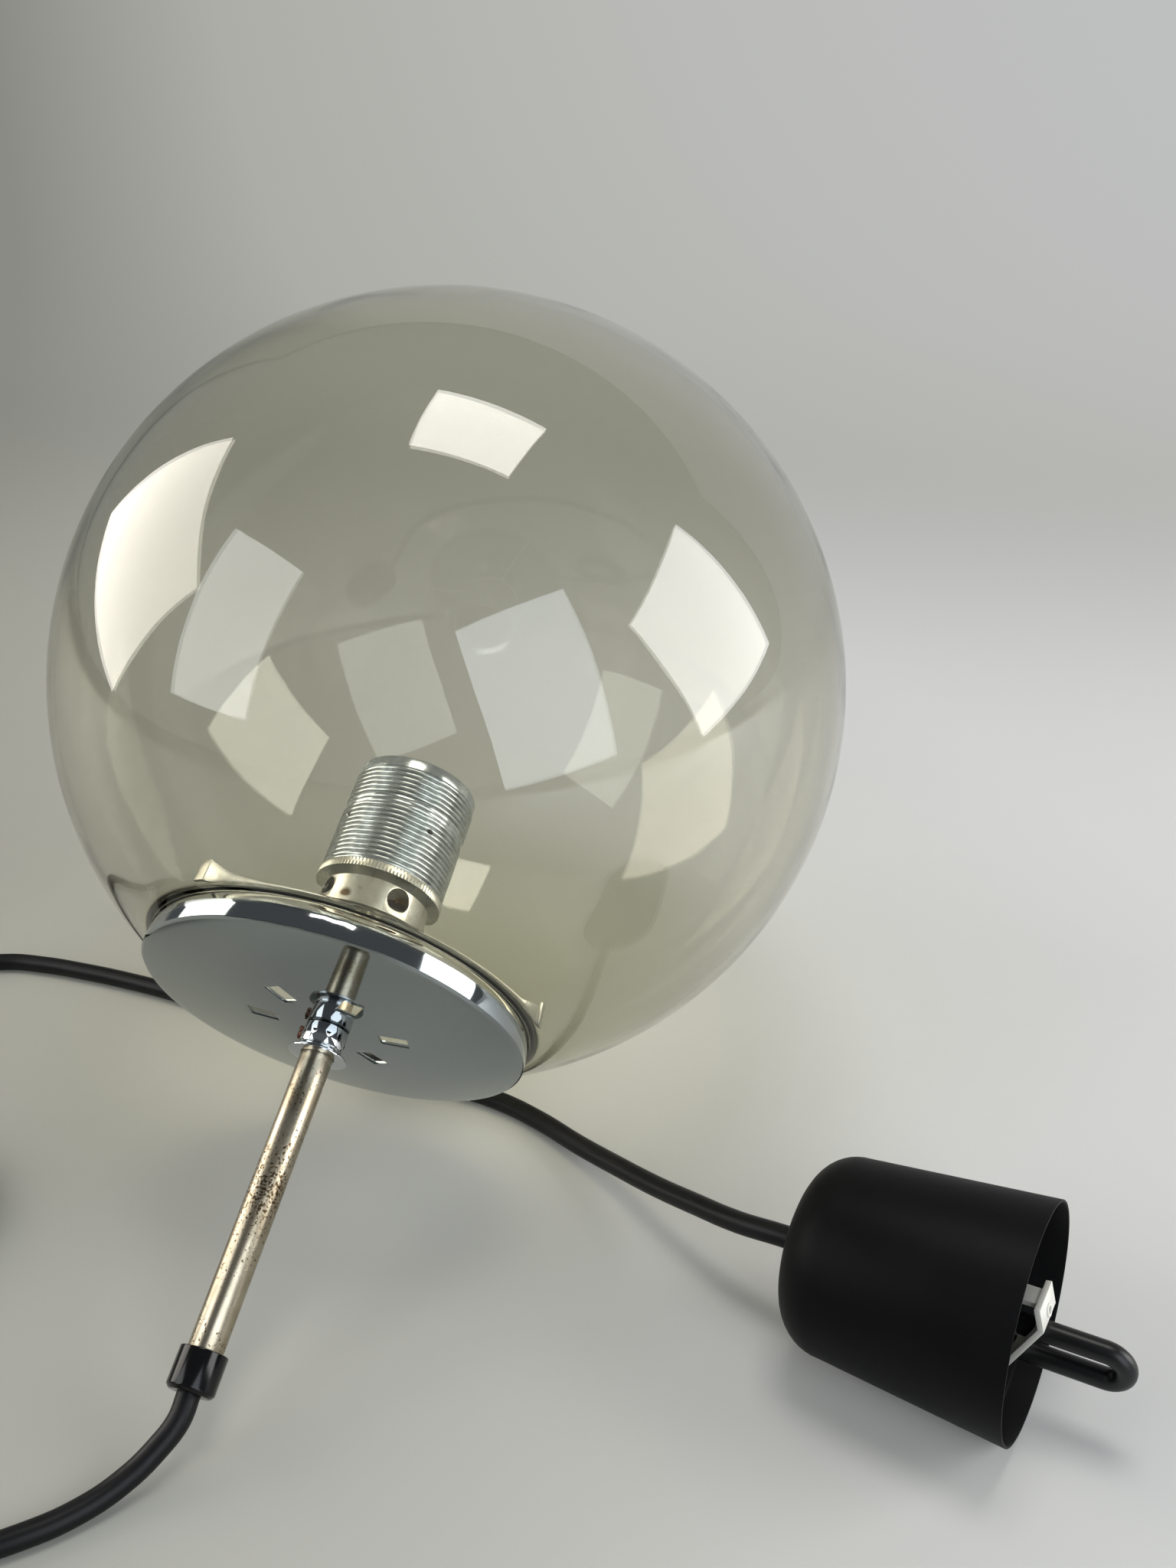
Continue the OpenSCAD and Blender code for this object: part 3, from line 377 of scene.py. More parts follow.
def cordSheath():
    # Black PVC sheath, satin, drawn over twisted cores that show through as a slow ripple
    finish = {
        "tones": [(0.3, "#09090a"), (0.7, "#0e0e0f")],
        "rippleSize": 12,
        "rippleDepth": 0.25,
        "markSize": 1.5,
        "rough": (0.34, 0.5),
    }
    material, tree, shader, vector = startMaterial("cordSheath")
    ripple = addNode(tree, "ShaderNodeTexNoise", {
        "Vector": vector, "Scale": 1 / finish["rippleSize"], "Detail": 2})
    marks = addNode(tree, "ShaderNodeTexNoise", {
        "Vector": vector, "Scale": 1 / finish["markSize"], "Detail": 3})
    fill(shader, {
        "Base Color": addNode(tree, "ShaderNodeValToRGB", {"Fac": ripple}, finish["tones"]),
        "Roughness": addNode(tree, "ShaderNodeMapRange", {
            "Value": marks, "To Min": finish["rough"][0], "To Max": finish["rough"][1]}),
        "Specular IOR Level": 0.22,
        "Normal": addNode(tree, "ShaderNodeBump", {
            "Height": ripple, "Distance": finish["rippleDepth"] * mm, "Strength": 0.5}),
    })
    return material


def coreInsulation(name, colour):
    # Thin PVC around a wire core, satin, a little uneven in tone
    finish = {"toneSize": 3, "dark": 0.75, "bright": 1.1}
    material, tree, shader, vector = startMaterial(name)
    tone = addNode(tree, "ShaderNodeTexNoise", {
        "Vector": vector, "Scale": 1 / finish["toneSize"], "Detail": 3})
    base = Vector(linear(colour)[:3])
    darker = (*(base * finish["dark"]), 1)
    brighter = (*(base * finish["bright"]), 1)
    fill(shader, {
        "Base Color": addNode(tree, "ShaderNodeMix", {
            0: tone, 6: darker, 7: brighter}, data_type="RGBA").outputs[2],
        "Roughness": 0.4,
    })
    return material


glassFinish = smokedGlass()
# The cover plate's chrome is a darker copy of the same chrome: painted shade for the dim room that it mirrors
shadedPlateChrome = chrome("chromePlatePaintedShade", "#9aa1a2", haze=(0.03, 0.09))
collarFinish = chrome("chromeCollar", "#cdd0d2", haze=(0.02, 0.06))
nickelFinish = agedNickel()
creamFinish = creamNickel()
zincFinish = zinc()
rustFinish = rustySteel()
brassFinish = brass()
porcelainFinish = porcelain()
cordFinish = cordSheath()
glossBlackFinish = mouldedPlastic(
    "glossBlackPlastic", lampPlace, ("#070708", "#0c0c0d"),
    rough=(0.1, 0.2), grain=(4, 0.02), specular=0.28)
cupFinish = mouldedPlastic(
    "grainedBlackPlastic", cupPlace, ("#060607", "#0a0a0b"),
    rough=(0.44, 0.56), grain=(0.45, 0.05), specular=0.1)
loopFinish = mouldedPlastic(
    "blackNylon", cupPlace, ("#0d0d0e", "#131314"),
    rough=(0.3, 0.42), grain=(0.8, 0.02), specular=0.35)
strapFinish = mouldedPlastic(
    "whiteLacquer", cupPlace, ("#e2e0d8", "#d3d0c5"),
    rough=(0.35, 0.5), grain=(0.6, 0.02), specular=0.5)
brownCore = coreInsulation("brownCore", "#5c3a22")
blueCore = coreInsulation("blueCore", "#2d62a8")
greenCore = coreInsulation("greenCore", "#6d9a3c")
print("materials made")

# Shaping helpers
weldGap = 0.001  # mm, points nearer than this become one
flatTurn = 0.6  # degrees, faces flatter than this to each other become one


def deselectAll():
    bpy.ops.object.select_all(action="DESELECT")


def applyAll(piece):
    deselectAll()
    piece.select_set(True)
    bpy.context.view_layer.objects.active = piece
    for modifier in list(piece.modifiers):
        bpy.ops.object.modifier_apply(modifier=modifier.name)


def softened(piece, edge, segments=2, angle=35):
    # Small bevels on the sharp edges, and smooth shading between them
    if edge:
        bevel = piece.modifiers.new("softEdges", "BEVEL")
        bevel.width = edge * mm
        bevel.segments = segments
        bevel.limit_method = "ANGLE"
        bevel.angle_limit = math.radians(angle)
    applyAll(piece)
    bpy.ops.object.shade_smooth_by_angle(angle=math.radians(angle))
    return piece


def turned(profile, sides, closed=True):
    # A form turned on the lathe: an edge drawn through (radius, height) in mm and spun about the axis
    deselectAll()
    bpy.ops.mesh.primitive_plane_add(size=mm, location=(0, 0, 0))
    piece = bpy.context.object
    bpy.ops.object.mode_set(mode="EDIT")
    bpy.ops.mesh.select_mode(type="VERT")
    bpy.ops.mesh.select_all(action="SELECT")
    bpy.ops.mesh.merge(type="CENTER")
    radius, height = profile[0]
    bpy.ops.transform.translate(value=(radius * mm, 0, height * mm))
    for nextRadius, nextHeight in profile[1:] + (profile[:1] if closed else []):
        move = ((nextRadius - radius) * mm, 0, (nextHeight - height) * mm)
        bpy.ops.mesh.extrude_vertices_move(TRANSFORM_OT_translate={"value": move})
        radius, height = nextRadius, nextHeight
    bpy.ops.mesh.select_all(action="SELECT")
    bpy.ops.mesh.spin(steps=sides, angle=2 * math.pi, center=(0, 0, 0), axis=(0, 0, 1))
    bpy.ops.mesh.select_all(action="SELECT")
    bpy.ops.mesh.remove_doubles(threshold=weldGap * mm)
    bpy.ops.mesh.normals_make_consistent(inside=False)
    bpy.ops.object.mode_set(mode="OBJECT")
    return piece


def cutBy(piece, cutter):
    # Cuts another mesh out of the piece, and removes the cutter
    cut = piece.modifiers.new("cut", "BOOLEAN")
    cut.operation = "DIFFERENCE"
    cut.solver = "EXACT"
    cut.object = cutter
    applyAll(piece)
    bpy.data.objects.remove(cutter)


def roundRod(points, radius, roundSteps, bendSteps):
    # A smooth rod or wire along points in metres, as a curve
    data = bpy.data.curves.new("rod", "CURVE")
    data.dimensions = "3D"
    data.bevel_depth = radius
    data.bevel_resolution = roundSteps
    data.resolution_u = bendSteps
    data.use_fill_caps = True
    spline = data.splines.new("BEZIER")
    spline.bezier_points.add(len(points) - 1)
    for point, where in zip(spline.bezier_points, points):
        point.co = where
        point.handle_left_type = point.handle_right_type = "AUTO"
    piece = bpy.data.objects.new("rod", data)
    bpy.context.scene.collection.objects.link(piece)
    return piece


def keep(piece, name, finish, body, replaced, place=None):
    # Names a finished piece, puts its place into its mesh and lets it ride
    piece.name = name
    piece.data.name = name
    if place is not None:
        piece.data.transform(place)
    piece.data.materials.clear()
    piece.data.materials.append(finish)
    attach(piece, body)
    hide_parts(*replaced)


def dress(nodeName, edge, finish, body="lamp_body", angle=35):
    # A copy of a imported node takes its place: merged, its flat faces made whole, its edges softened
    deselectAll()
    piece = bpy.data.objects.new(nodeName, nodes[nodeName].data.copy())
    bpy.context.scene.collection.objects.link(piece)
    bpy.context.view_layer.objects.active = piece
    piece.select_set(True)
    bpy.ops.object.mode_set(mode="EDIT")
    bpy.ops.mesh.select_all(action="SELECT")
    bpy.ops.mesh.remove_doubles(threshold=2 * weldGap * mm)
    bpy.ops.mesh.dissolve_limited(angle_limit=math.radians(flatTurn))
    bpy.ops.object.mode_set(mode="OBJECT")
    softened(piece, edge, angle=angle)
    first, *others = nodeName.split("_")
    keep(piece, first + "".join(word.capitalize() for word in others), finish, body, [nodeName])
    return piece


# The cord, in one length from the end cap through the coil of spare cord into the cup
cord = {
    "diameter": 6.5,
    "coilMiddle": (-150.0, -130.0),
    "coilLoops": 3,
    "coilDiameter": 72.0,
    "coilStep": 7.1,
    "climbHalf": 0.25,  # loops before and after the middle in which the coil climbs a layer
    "pointsPerLoop": 24,
    "length": 1.523,
    "toCoil": [
        (-2.5, -179, 8.8), (-7.5, -188, 5.2), (-14.5, -198, 3.5), (-24, -208, 3.3), (-37, -218, 3.3),
        (-53, -226.5, 3.3), (-71, -231.5, 3.3), (-90, -233, 3.3), (-109, -231, 3.3), (-128, -226, 3.3),
        (-146, -217, 3.3), (-162, -205, 3.3), (-175, -190, 3.3), (-184.5, -173, 3.3), (-189.5, -157, 3.3)],
    "toCup": [
        (-192.5, -103, 8.5), (-196, -90, 6), (-202, -72, 4), (-208, -54, 3.3), (-212, -36, 3.3),
        (-211, -18, 3.3), (-203, -2, 3.3), (-189, 7, 3.3), (-172, 10, 3.3), (-154, 10.5, 3.3),
        (-135, 10, 3.3), (-116, 8.5, 3.3), (-97, 6, 3.3), (-78, 3, 3.3), (-59, -1, 3.3),
        (-40, -5, 3.3), (-21, -9, 3.3), (-2, -12, 3.3), (16, -14, 3.3), (33, -17, 3.3),
        (49, -23, 3.6), (65, -32, 5), (81, -42, 8.5), (97, -53, 13.5), (112, -63, 19), (127, -72, 24)],
    "alongCup": (-72.5, -44.0, -22.0, -17.4),  # mm below the cup's rim, on its axis
    "endCapTop": 235.16,
    "roundSteps": 6,
    "bendSteps": 5,
}


def coilPoint(loops):
    half = cord["coilLoops"] / 2
    outer = cord["coilDiameter"] / 2 + cord["coilStep"] * half / 2
    radius = outer - cord["coilStep"] * (half - abs(loops - half))
    angle = math.radians(180 - 360 * loops)
    climb = min(max((loops - half + cord["climbHalf"]) / (2 * cord["climbHalf"]), 0), 1)
    x, y = cord["coilMiddle"]
    lie = cord["diameter"] / 2 + cord["coilStep"] * climb
    return Vector((x + radius * math.cos(angle), y + radius * math.sin(angle), lie))


exitPoint = onLamp(0, 0, cord["endCapTop"])
oneFurther = onLamp(0, 0, cord["endCapTop"] + cord["diameter"])
aside = Vector((0, cord["diameter"], 0))
coilCount = cord["coilLoops"] * cord["pointsPerLoop"]
coilPoints = [coilPoint(i / cord["pointsPerLoop"]) for i in range(coilCount + 1)]
routeMm = (
    [Vector(p) for p in cord["toCoil"]]
    + [coilPoints[0] - 2 * aside, coilPoints[0] - aside] + coilPoints
    + [coilPoints[-1] + aside, coilPoints[-1] + 2 * aside]
    + [Vector(p) for p in cord["toCup"]]
)
route = [exitPoint, oneFurther] + [p * mm for p in routeMm] + [onCup(0, 0, z) for z in cord["alongCup"]]
cordPiece = roundRod(route, cord["diameter"] * mm / 2, cord["roundSteps"], cord["bendSteps"])
cordNodes = ["cord_lamp_side", "cord_coil", "cord_cup_side"]
keep(cordPiece, "mainsCord", cordFinish, "lamp_body", cordNodes)
print("cord laid")

# Glass globe: one closed wall, with the fire-polished bead around its neck
globe = {
    "outside": 133.0,
    "inside": 130.5,
    "beadMiddle": (57.5, 116.592),  # radius and height
    "bead": 2.9,
    "beadSweep": 250,  # degrees of the bead that stand clear of the wall
    "sides": 224,
    "rings": 116,
    "beadSteps": 22,
    "wallStart": 5.5,  # way along the wall from the bead's middle to where it is plain
    "shoulder": (2.5, 132.97),  # way along the wall, distance from the middle
    "blend": [(2.95, 129.5), (3.4, 130.0), (4.2, 130.35)],
}
beadTurn = math.atan2(*globe["beadMiddle"])
beadReach = math.hypot(*globe["beadMiddle"])


def onSphere(reach, a):
    return (reach * math.sin(a), reach * math.cos(a))


def onWall(along, reach):
    return onSphere(reach, beadTurn + along / beadReach)


def onBead(turn):
    out, up = onSphere(globe["bead"], beadTurn + math.radians(turn))
    return (globe["beadMiddle"][0] + out, globe["beadMiddle"][1] + up)


wallSweep = math.pi - beadTurn - globe["wallStart"] / beadReach
wallTurns = [math.pi - wallSweep * i / globe["rings"] for i in range(1, globe["rings"] + 1)]
outerWall = [onSphere(globe["outside"], a) for a in wallTurns]
innerWall = [onSphere(globe["inside"], a) for a in reversed(wallTurns)]
beadLine = [onBead(-globe["beadSweep"] * i / globe["beadSteps"]) for i in range(globe["beadSteps"] + 1)]
globeProfile = (
    [(0, -globe["outside"])] + outerWall + [onWall(*globe["shoulder"])]
    + beadLine + [onWall(*p) for p in globe["blend"]] + innerWall + [(0, -globe["inside"])]
)
globePiece = softened(turned(globeProfile, globe["sides"], closed=False), edge=0, angle=60)
keep(globePiece, "smokedGlobe", glassFinish, "globe", ["globe"], lampPlace)
print("globe blown")

# Cover plate with its six slots
plate = {
    "radius": 60.0,
    "wall": 1.0,
    "hole": 5.3,
    "rimZ": 119.497,
    "faceZ": 125.497,
    "dome": 3.6,
    "bevel": 0.8,
    "slots": 6,
    "slotRing": 21.0,
    "slotSize": (9.0, 6.0, 20.0),  # length, width and the cutter's depth
    "slotTurn": -5.0,
    "rings": 24,
    "sides": 256,
}


def domeZ(radius):
    return plate["faceZ"] + plate["dome"] * (1 - (radius / plate["radius"]) ** 2)


faceRadius = plate["radius"] - plate["bevel"]
faceStep = (faceRadius - plate["hole"]) / plate["rings"]
faceRadii = [plate["hole"] + faceStep * i for i in range(plate["rings"] + 1)]
faceEdge = domeZ(faceRadius)
innerRim = plate["radius"] - plate["wall"]
plateProfile = (
    [(r, domeZ(r)) for r in faceRadii]
    + [(plate["radius"], faceEdge - plate["bevel"]), (plate["radius"], plate["rimZ"]),
       (innerRim, plate["rimZ"]), (innerRim, faceEdge - plate["wall"] - plate["bevel"])]
    + [(r, domeZ(r) - plate["wall"]) for r in reversed(faceRadii)]
)
platePiece = turned(plateProfile, plate["sides"])
for i in range(plate["slots"]):
    deselectAll()
    bpy.ops.mesh.primitive_cube_add(size=1, location=(0, 0, 0))
    slotCutter = bpy.context.object
    bpy.ops.object.mode_set(mode="EDIT")
    bpy.ops.mesh.select_all(action="SELECT")
    bpy.ops.transform.resize(value=[size * mm for size in plate["slotSize"]])
    bpy.ops.transform.translate(value=(plate["slotRing"] * mm, 0, plate["faceZ"] * mm))
    bpy.ops.object.mode_set(mode="OBJECT")
    slotAngle = math.radians(plate["slotTurn"] + i * 360 / plate["slots"])
    slotCutter.data.transform(Matrix.Rotation(slotAngle, 4, "Z"))
    cutBy(platePiece, slotCutter)
softened(platePiece, edge=0.3, segments=3, angle=30)
keep(platePiece, "coverPlate", shadedPlateChrome, "cover_plate", ["cover_plate"], lampPlace)
print("cover plate turned")

# Set collar and its grub screw
collar = {
    "foot": 129.147,
    "profile": [  # radius, height above its foot
        (5.06, 0), (6.25, 0), (6.75, 0.5), (6.75, 6.3), (6.35, 6.3), (6.35, 6.7), (6.75, 6.7), (6.75, 7.9),
        (6.35, 7.9), (6.35, 8.3), (8.73, 8.3), (9.0, 8.57), (9.0, 9.1), (5.33, 9.1), (5.06, 8.83)],
    "sides": 160,
    "grubTurn": 170.0,
    "grubZ": 132.297,
    "holeRadius": 2.06,
    "holeLength": 12.0,
    "holeOut": 9.0,  # the hole's middle, from the axis
    "holeSides": 48,
}
collarPiece = turned([(r, collar["foot"] + z) for r, z in collar["profile"]], collar["sides"])
deselectAll()
bpy.ops.mesh.primitive_cylinder_add(
    vertices=collar["holeSides"], radius=collar["holeRadius"] * mm, depth=collar["holeLength"] * mm,
    location=(0, 0, 0))
holeCutter = bpy.context.object
holeCutter.data.transform(
    Matrix.Rotation(math.radians(collar["grubTurn"]), 4, "Z")
    @ Matrix.Translation((collar["holeOut"] * mm, 0, collar["grubZ"] * mm))
    @ Matrix.Rotation(math.radians(90), 4, "Y"))
cutBy(collarPiece, holeCutter)
softened(collarPiece, edge=0.1, angle=30)
keep(collarPiece, "setCollar", collarFinish, "collar", ["set_collar"], lampPlace)
dress("grub_screw", 0.15, rustFinish, "grub_screw")

# Stem, its end cap and the cord inside
stem = {
    "tube": [(5.0, 86.56), (5.0, 233.56), (4.0, 233.56), (4.0, 86.56)],
    "endCap": [
        (5.05, 224.16), (6.7, 224.16), (6.7, 234.16), (5.7, 235.16),
        (3.3, 235.16), (3.3, 233.56), (5.05, 233.56)],
    "sides": 96,
    "leadHeights": (92.56, 130, 180, 235.0),
    "leadSteps": 6,
}
stemPiece = softened(turned(stem["tube"], stem["sides"]), edge=0.2)
keep(stemPiece, "stemTube", nickelFinish, "lamp_body", ["stem_tube"], lampPlace)
capPiece = softened(turned(stem["endCap"], stem["sides"]), edge=0.3, segments=3, angle=30)
keep(capPiece, "stemEndCap", glossBlackFinish, "lamp_body", ["stem_end_cap"], lampPlace)
leadPoints = [onLamp(0, 0, z) for z in stem["leadHeights"]]
leadPiece = roundRod(leadPoints, cord["diameter"] * mm / 2, cord["roundSteps"], stem["leadSteps"])
keep(leadPiece, "leadInStem", cordFinish, "lamp_body", ["stem_lead"])
print("stem, collar and end cap turned")

# Arms, hub, rivets and nut
for i in (1, 2, 3):
    dress(f"glass_arm_{i}", 0.25, creamFinish, f"arm_{i}")
dress("arm_hub", 0.15, creamFinish)
dress("arm_rivets", 0.2, nickelFinish)
dress("lock_nut", 0.3, nickelFinish)

# Lampholder's threaded shell: round rolled ridges with fine valleys between them
shell = {
    "root": 19.4,
    "plain": 19.7,
    "pitch": 1.7,
    "steps": 8,
    "roundness": 0.7,
    "mouthZ": 41.71,
    "mouthRound": 0.6,
    "mouthRoundMiddle": 0.18,
    "beforeRidges": 0.1,
    "mouthRidges": (45.41, 6, 0.6),  # height of the first, how many, and how deep
    "grooveRidges": (55.61, 2, 0.25),
    "capRidges": (59.01, 12, 0.6),
    "topZ": 80.11,
    "topLand": 0.6,
    "spigot": 18.4,
    "spigotTop": 83.11,
    "flangeSeat": 17.45,
    "seatDrop": 0.8,  # below the top
    "bore": 18.6,
    "boreDrop": 1.6,
    "mouth": 15.0,
    "lip": 1.2,
    "sides": 192,
}


def ridgeLine(bottom, count, depth):
    line = []
    for i in range(count * shell["steps"]):
        way = i / shell["steps"]
        bulge = math.sin(math.pi * (way % 1)) ** shell["roundness"]
        line.append((shell["root"] + depth * bulge, bottom + way * shell["pitch"]))
    return line


lipTop = shell["mouthZ"] + shell["lip"]
roundMiddle = shell["mouthRoundMiddle"]
shellProfile = [
    (shell["mouth"], shell["mouthZ"]),
    (shell["plain"] - shell["mouthRound"], shell["mouthZ"]),
    (shell["plain"] - roundMiddle, shell["mouthZ"] + roundMiddle),
    (shell["plain"], shell["mouthZ"] + shell["mouthRound"]),
    (shell["plain"], shell["mouthRidges"][0] - shell["beforeRidges"]),
]
for rows in ("mouthRidges", "grooveRidges", "capRidges"):
    shellProfile += ridgeLine(*shell[rows])
shellProfile += [
    (shell["root"], shell["topZ"] - shell["topLand"]),
    (shell["root"], shell["topZ"]),
    (shell["spigot"], shell["topZ"]),
    (shell["spigot"], shell["spigotTop"]),
    (shell["flangeSeat"], shell["spigotTop"]),
    (shell["flangeSeat"], shell["topZ"] - shell["seatDrop"]),
    (shell["bore"], shell["topZ"] - shell["boreDrop"]),
    (shell["bore"], lipTop),
    (shell["mouth"], lipTop),
]
shellPiece = softened(turned(shellProfile, shell["sides"]), edge=0, angle=50)
keep(shellPiece, "threadedShell", zincFinish, "lamp_body", ["threaded_shell"], lampPlace)
print("threaded shell rolled")

# The rest of the lampholder
dress("holder_cap", 0.1, creamFinish)
dress("screw_shell", 0.1, brassFinish)
dress("ceramic_insert", 0.3, porcelainFinish)
dress("insulating_ring", 0.2, porcelainFinish)
dress("contact_tongue", 0.08, brassFinish, "contact_tongue")
dress("terminal_screws", 0.15, brassFinish)
dress("earth_screw", 0.2, brassFinish)

# Wire cores in the lampholder and in the cup
for start in ("", "cup_"):
    dress(start + "live_core", 0, brownCore, angle=80)
    dress(start + "neutral_core", 0, blueCore, angle=80)
    dress(start + "earth_core", 0, greenCore, angle=80)
print("lampholder dressed")

# Ceiling cup with its strap
cupForm = {
    "rim": 32.5,
    "crown": 28.0,
    "height": 66.0,
    "round": 13.0,
    "wall": 1.6,
    "hole": 4.0,
    "ledgeDown": 7.0,
    "ledgeTaper": 0.4,
    "steps": 12,
    "sides": 160,
}


def cupLine(inset):
    # The wall's round corner into its crown, from the crown out, this far inside the outer face
    side = cupForm["crown"] - inset
    radius = cupForm["round"] - inset
    base = -cupForm["height"] + inset
    corner = []
    for i in range(cupForm["steps"] + 1):
        a = math.radians(90 * i / cupForm["steps"])
        corner.append((side - radius * (1 - math.sin(a)), base + radius * (1 - math.cos(a))))
    return corner


outerLine = [(cupForm["hole"], -cupForm["height"])] + cupLine(0) + [(cupForm["rim"], 0)]
ledgeR = cupForm["rim"] - cupForm["wall"] / 2
slopeIn = (cupForm["rim"] - cupForm["crown"]) / (cupForm["height"] - cupForm["round"])
innerAtLedge = cupForm["rim"] - cupForm["wall"] - cupForm["ledgeDown"] * slopeIn
innerLine = [
    (ledgeR, 0),
    (ledgeR - cupForm["ledgeTaper"], -cupForm["ledgeDown"]),
    (innerAtLedge, -cupForm["ledgeDown"]),
]
innerLine += reversed(cupLine(cupForm["wall"]))
innerLine.append((cupForm["hole"], -cupForm["height"] + cupForm["wall"]))
cupPiece = softened(turned(outerLine + innerLine, cupForm["sides"]), edge=0.3, angle=40)
keep(cupPiece, "ceilingCup", cupFinish, "ceiling_cup", ["ceiling_cup"], cupPlace)
strapPiece = dress("grip_strap", 0.3, strapFinish)

# The loop: a bent rod with two legs through the strap
loop = {
    "radius": 3.0,
    "pitch": 10.5,
    "near": 2.0,  # mm below the cup's axis as it lies
    "turn": 8.0,
    "nearFoot": -4.5,
    "farFoot": -10.0,
    "bowZ": 17.75,
    "beforeBow": 1.0,
    "steps": 12,
    "roundSteps": 10,
    "bendSteps": 4,
}
loopTurn = Matrix.Rotation(math.radians(loop["turn"]), 4, "Z")
loopPlace = cupPlace @ Matrix.Translation((loop["near"] * mm, 0, 0)) @ loopTurn
bowR = loop["pitch"] / 2
legTop = loop["bowZ"] - loop["beforeBow"]
loopLine = [(0, loop["nearFoot"]), (0, loop["bowZ"] / 2), (0, legTop)]
for i in range(loop["steps"] + 1):
    a = math.pi * i / loop["steps"]
    loopLine.append((bowR * (1 - math.cos(a)), loop["bowZ"] + bowR * math.sin(a)))
loopLine += [(loop["pitch"], legTop), (loop["pitch"], loop["bowZ"] / 2), (loop["pitch"], loop["farFoot"])]
loopPoints = [loopPlace @ Vector((x * mm, 0, z * mm)) for x, z in loopLine]
loopPiece = roundRod(loopPoints, loop["radius"] * mm, loop["roundSteps"], loop["bendSteps"])
keep(loopPiece, "hangingLoop", loopFinish, "lamp_body", ["hanging_loop"])

# Terminal block, and what the cord reaches in the cup
blockPiece = dress("terminal_block", 0.4, strapFinish)
dress("block_screws", 0.2, zincFinish)
print("ceiling cup made")

# Table and backdrop, one pale sweep
stage = {
    "half": 3.0,
    "behind": 1.5,  # metres behind the lamp where the backdrop starts to rise
    "height": 2.6,
    "sweep": 1.2,
    "sweepSteps": 32,
    "backEdge": 0.5,  # metres behind the lamp, past which only the back edge lies
    # painted light on the table: darker to the left, lighter to the right
    "near": [(0.0, "#9a9a92"), (0.3, "#afafa9"), (0.62, "#c7c7c5"), (0.95, "#d2d2d2")],
    # painted glow of the backdrop: darker to the left, lighter to the right
    "far": [(0.02, "#8a8b85"), (0.22, "#acada7"), (0.45, "#b6b7b2"), (0.63, "#bbbcba"), (0.98, "#bfc0c1")],
    "across": (1, 0.717, 0),  # the way in which the table brightens
    "nearSpan": (-250, 450),  # mm that way, from the first colour to the last
    "farSpan": (-250, 2300),
    "glowSpan": (300, 1100),  # mm behind the lamp in which the table turns into backdrop
}


def paintedLightTable():
    # Painted board, matt, with painted light in its colour: lighter towards the right window and darker to
    # the left; past the lamp it glows as a backdrop with painted light
    material, tree, shader, place = startMaterial("paintedLightTable")
    slant = addNode(tree, "ShaderNodeVectorMath", {0: place, 1: stage["across"]}, operation="DOT_PRODUCT")
    across = slant.outputs["Value"]
    paintedLightNearWay = addNode(tree, "ShaderNodeMapRange", {
        "Value": across, "From Min": stage["nearSpan"][0], "From Max": stage["nearSpan"][1]})
    paintedGlowWay = addNode(tree, "ShaderNodeMapRange", {
        "Value": across, "From Min": stage["farSpan"][0], "From Max": stage["farSpan"][1]})
    # the table's colour carries painted light and painted shade from left to right
    fill(shader, {
        "Base Color": addNode(tree, "ShaderNodeValToRGB", {"Fac": paintedLightNearWay}, stage["near"]),
        "Roughness": 0.55,
        "Specular IOR Level": 0.3,
    })
    # Past the lamp the table glows with painted light for the camera, the glass and the mirrors
    paintedGlow = addNode(tree, "ShaderNodeEmission", {
        "Color": addNode(tree, "ShaderNodeValToRGB", {"Fac": paintedGlowWay}, stage["far"])})
    behind = addNode(tree, "ShaderNodeSeparateXYZ", {"Vector": place}).outputs["Y"]
    farness = addNode(tree, "ShaderNodeMapRange", {
        "Value": behind, "From Min": stage["glowSpan"][0], "From Max": stage["glowSpan"][1],
    }, interpolation_type="SMOOTHSTEP")
    rays = addNode(tree, "ShaderNodeLightPath").outputs
    seen = addNode(tree, "ShaderNodeMath", {
        0: rays["Is Camera Ray"], 1: rays["Is Transmission Ray"]}, operation="MAXIMUM")
    seen = addNode(tree, "ShaderNodeMath", {0: seen, 1: rays["Is Glossy Ray"]}, operation="MAXIMUM")
    share = addNode(tree, "ShaderNodeMath", {0: seen, 1: farness}, operation="MULTIPLY")
    surface = addNode(tree, "ShaderNodeMixShader", {0: share, 1: shader, 2: paintedGlow})
    fill(tree.nodes["Material Output"], {"Surface": surface})
    return material


deselectAll()
bpy.ops.mesh.primitive_plane_add(size=2 * stage["half"], location=(0, 0, 0))
sweepPiece = bpy.context.object
sweepPiece.name = "tableSweep"
bpy.ops.object.mode_set(mode="EDIT")
bpy.ops.mesh.select_all(action="SELECT")
bpy.ops.transform.translate(value=(0, stage["behind"] + stage["sweep"] - stage["half"], 0))
bpy.ops.mesh.select_mode(type="EDGE")
bpy.ops.object.mode_set(mode="OBJECT")
for edge in sweepPiece.data.edges:
    edge.select = all(sweepPiece.data.vertices[v].co.y > stage["backEdge"] for v in edge.vertices)
for face in sweepPiece.data.polygons:
    face.select = False
bpy.ops.object.mode_set(mode="EDIT")
bpy.ops.mesh.extrude_edges_move(TRANSFORM_OT_translate={"value": (0, 0, stage["height"])})
bpy.ops.object.mode_set(mode="OBJECT")
sweepBevel = sweepPiece.modifiers.new("sweep", "BEVEL")
sweepBevel.width = stage["sweep"]
sweepBevel.segments = stage["sweepSteps"]
applyAll(sweepPiece)
bpy.ops.object.shade_smooth()
sweepPiece.data.materials.append(paintedLightTable())

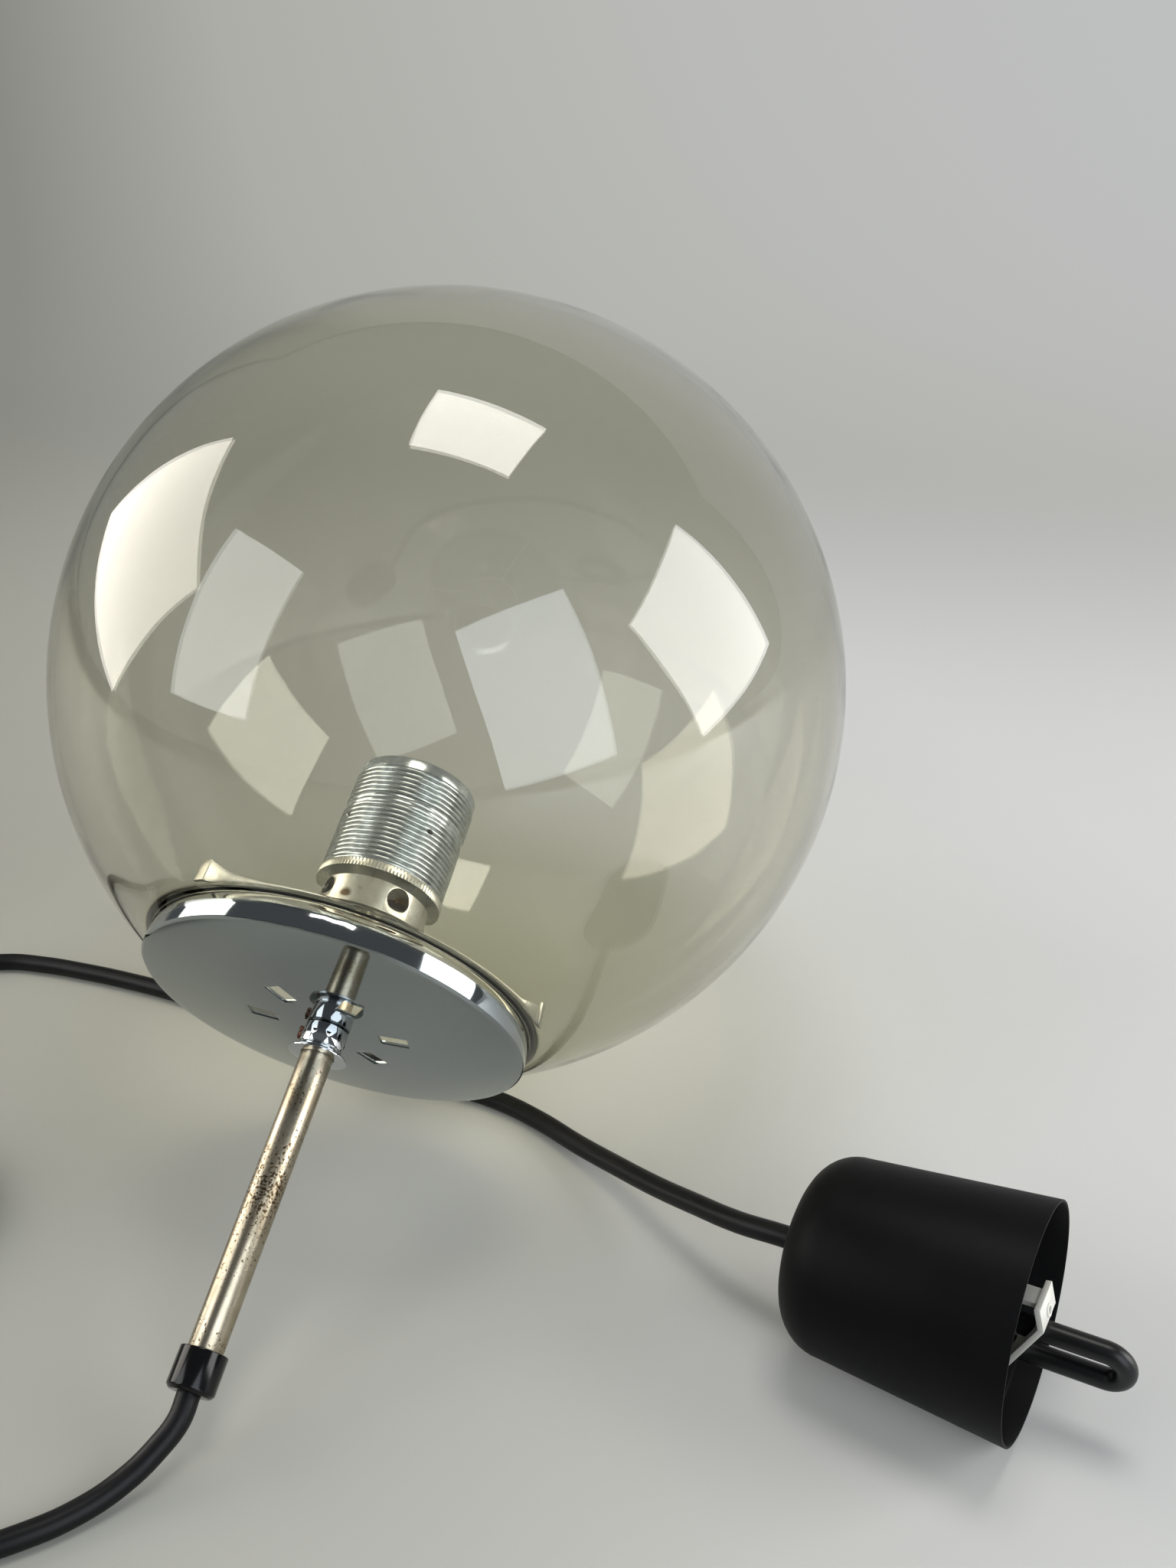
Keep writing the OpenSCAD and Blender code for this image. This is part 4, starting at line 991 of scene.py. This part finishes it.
# Lamps: two windows, an overhead light and two dimmer ones in front, as the glass shows them
lamps = {
    "overhead": {
        "place": (0.130, 0.172, 1.624), "along": (1.0, 0.0, -0.07), "size": (0.63, 0.51),
        "level": 8.0, "colour": "#fffdf8"},
    "leftWindow": {
        "place": (-1.407, -0.042, 0.659), "along": (0.29, -0.35, 0.89), "size": (0.95, 0.98),
        "level": 4.7, "colour": "#fff9f0"},
    "rightWindow": {
        "place": (1.417, 0.253, 0.585), "along": (0.22, 0.29, -0.93), "size": (0.93, 0.88),
        "level": 6.0, "colour": "#ffffff"},
    "frontLeft": {
        "place": (-0.972, -0.898, 0.796), "along": (0.68, -0.72, 0.11), "size": (0.66, 1.0),
        "level": 3.3, "colour": "#fbfdff"},
    "frontRight": {
        "place": (0.999, -0.952, 0.659), "along": (0.34, -0.14, -0.93), "size": (1.2, 0.85),
        "level": 3.3, "colour": "#eef6ff"},
}
for name, settings in lamps.items():
    data = bpy.data.lights.new(name, "AREA")
    data.shape = "RECTANGLE"
    data.size, data.size_y = settings["size"]
    data.energy = settings["level"] * math.pi * data.size * data.size_y
    data.color = linear(settings["colour"])[:3]
    light = bpy.data.objects.new(name, data)
    bpy.context.scene.collection.objects.link(light)
    outward = (Vector(settings["place"]) - globeMiddle).normalized()
    along = Vector(settings["along"])
    along = (along - along.dot(outward) * outward).normalized()
    lightTurn = Matrix((along, outward.cross(along), outward)).transposed()
    light.matrix_world = Matrix.Translation(settings["place"]) @ lightTurn.to_4x4()

# Room: dim light on the object, and a pale wall wherever the camera or the glass looks past the backdrop
room = {
    "light": "#c8ccd2",
    "strength": 0.22,
    "wall": "#b9bab8",
}
world = bpy.data.worlds.new("softRoom")
bpy.context.scene.world = world
world.use_nodes = True
roomTree = world.node_tree
roomLight = roomTree.nodes["Background"]
fill(roomLight, {"Color": linear(room["light"]), "Strength": room["strength"]})
roomWall = addNode(roomTree, "ShaderNodeBackground", {"Color": linear(room["wall"])})
roomRays = addNode(roomTree, "ShaderNodeLightPath").outputs
roomSeen = addNode(roomTree, "ShaderNodeMath", {
    0: roomRays["Is Camera Ray"], 1: roomRays["Is Transmission Ray"]}, operation="MAXIMUM")
roomMix = addNode(roomTree, "ShaderNodeMixShader", {0: roomSeen, 1: roomLight, 2: roomWall})
fill(roomTree.nodes["World Output"], {"Surface": roomMix})
bpy.context.scene.view_settings.view_transform = "Standard"
print("table and lamps set")
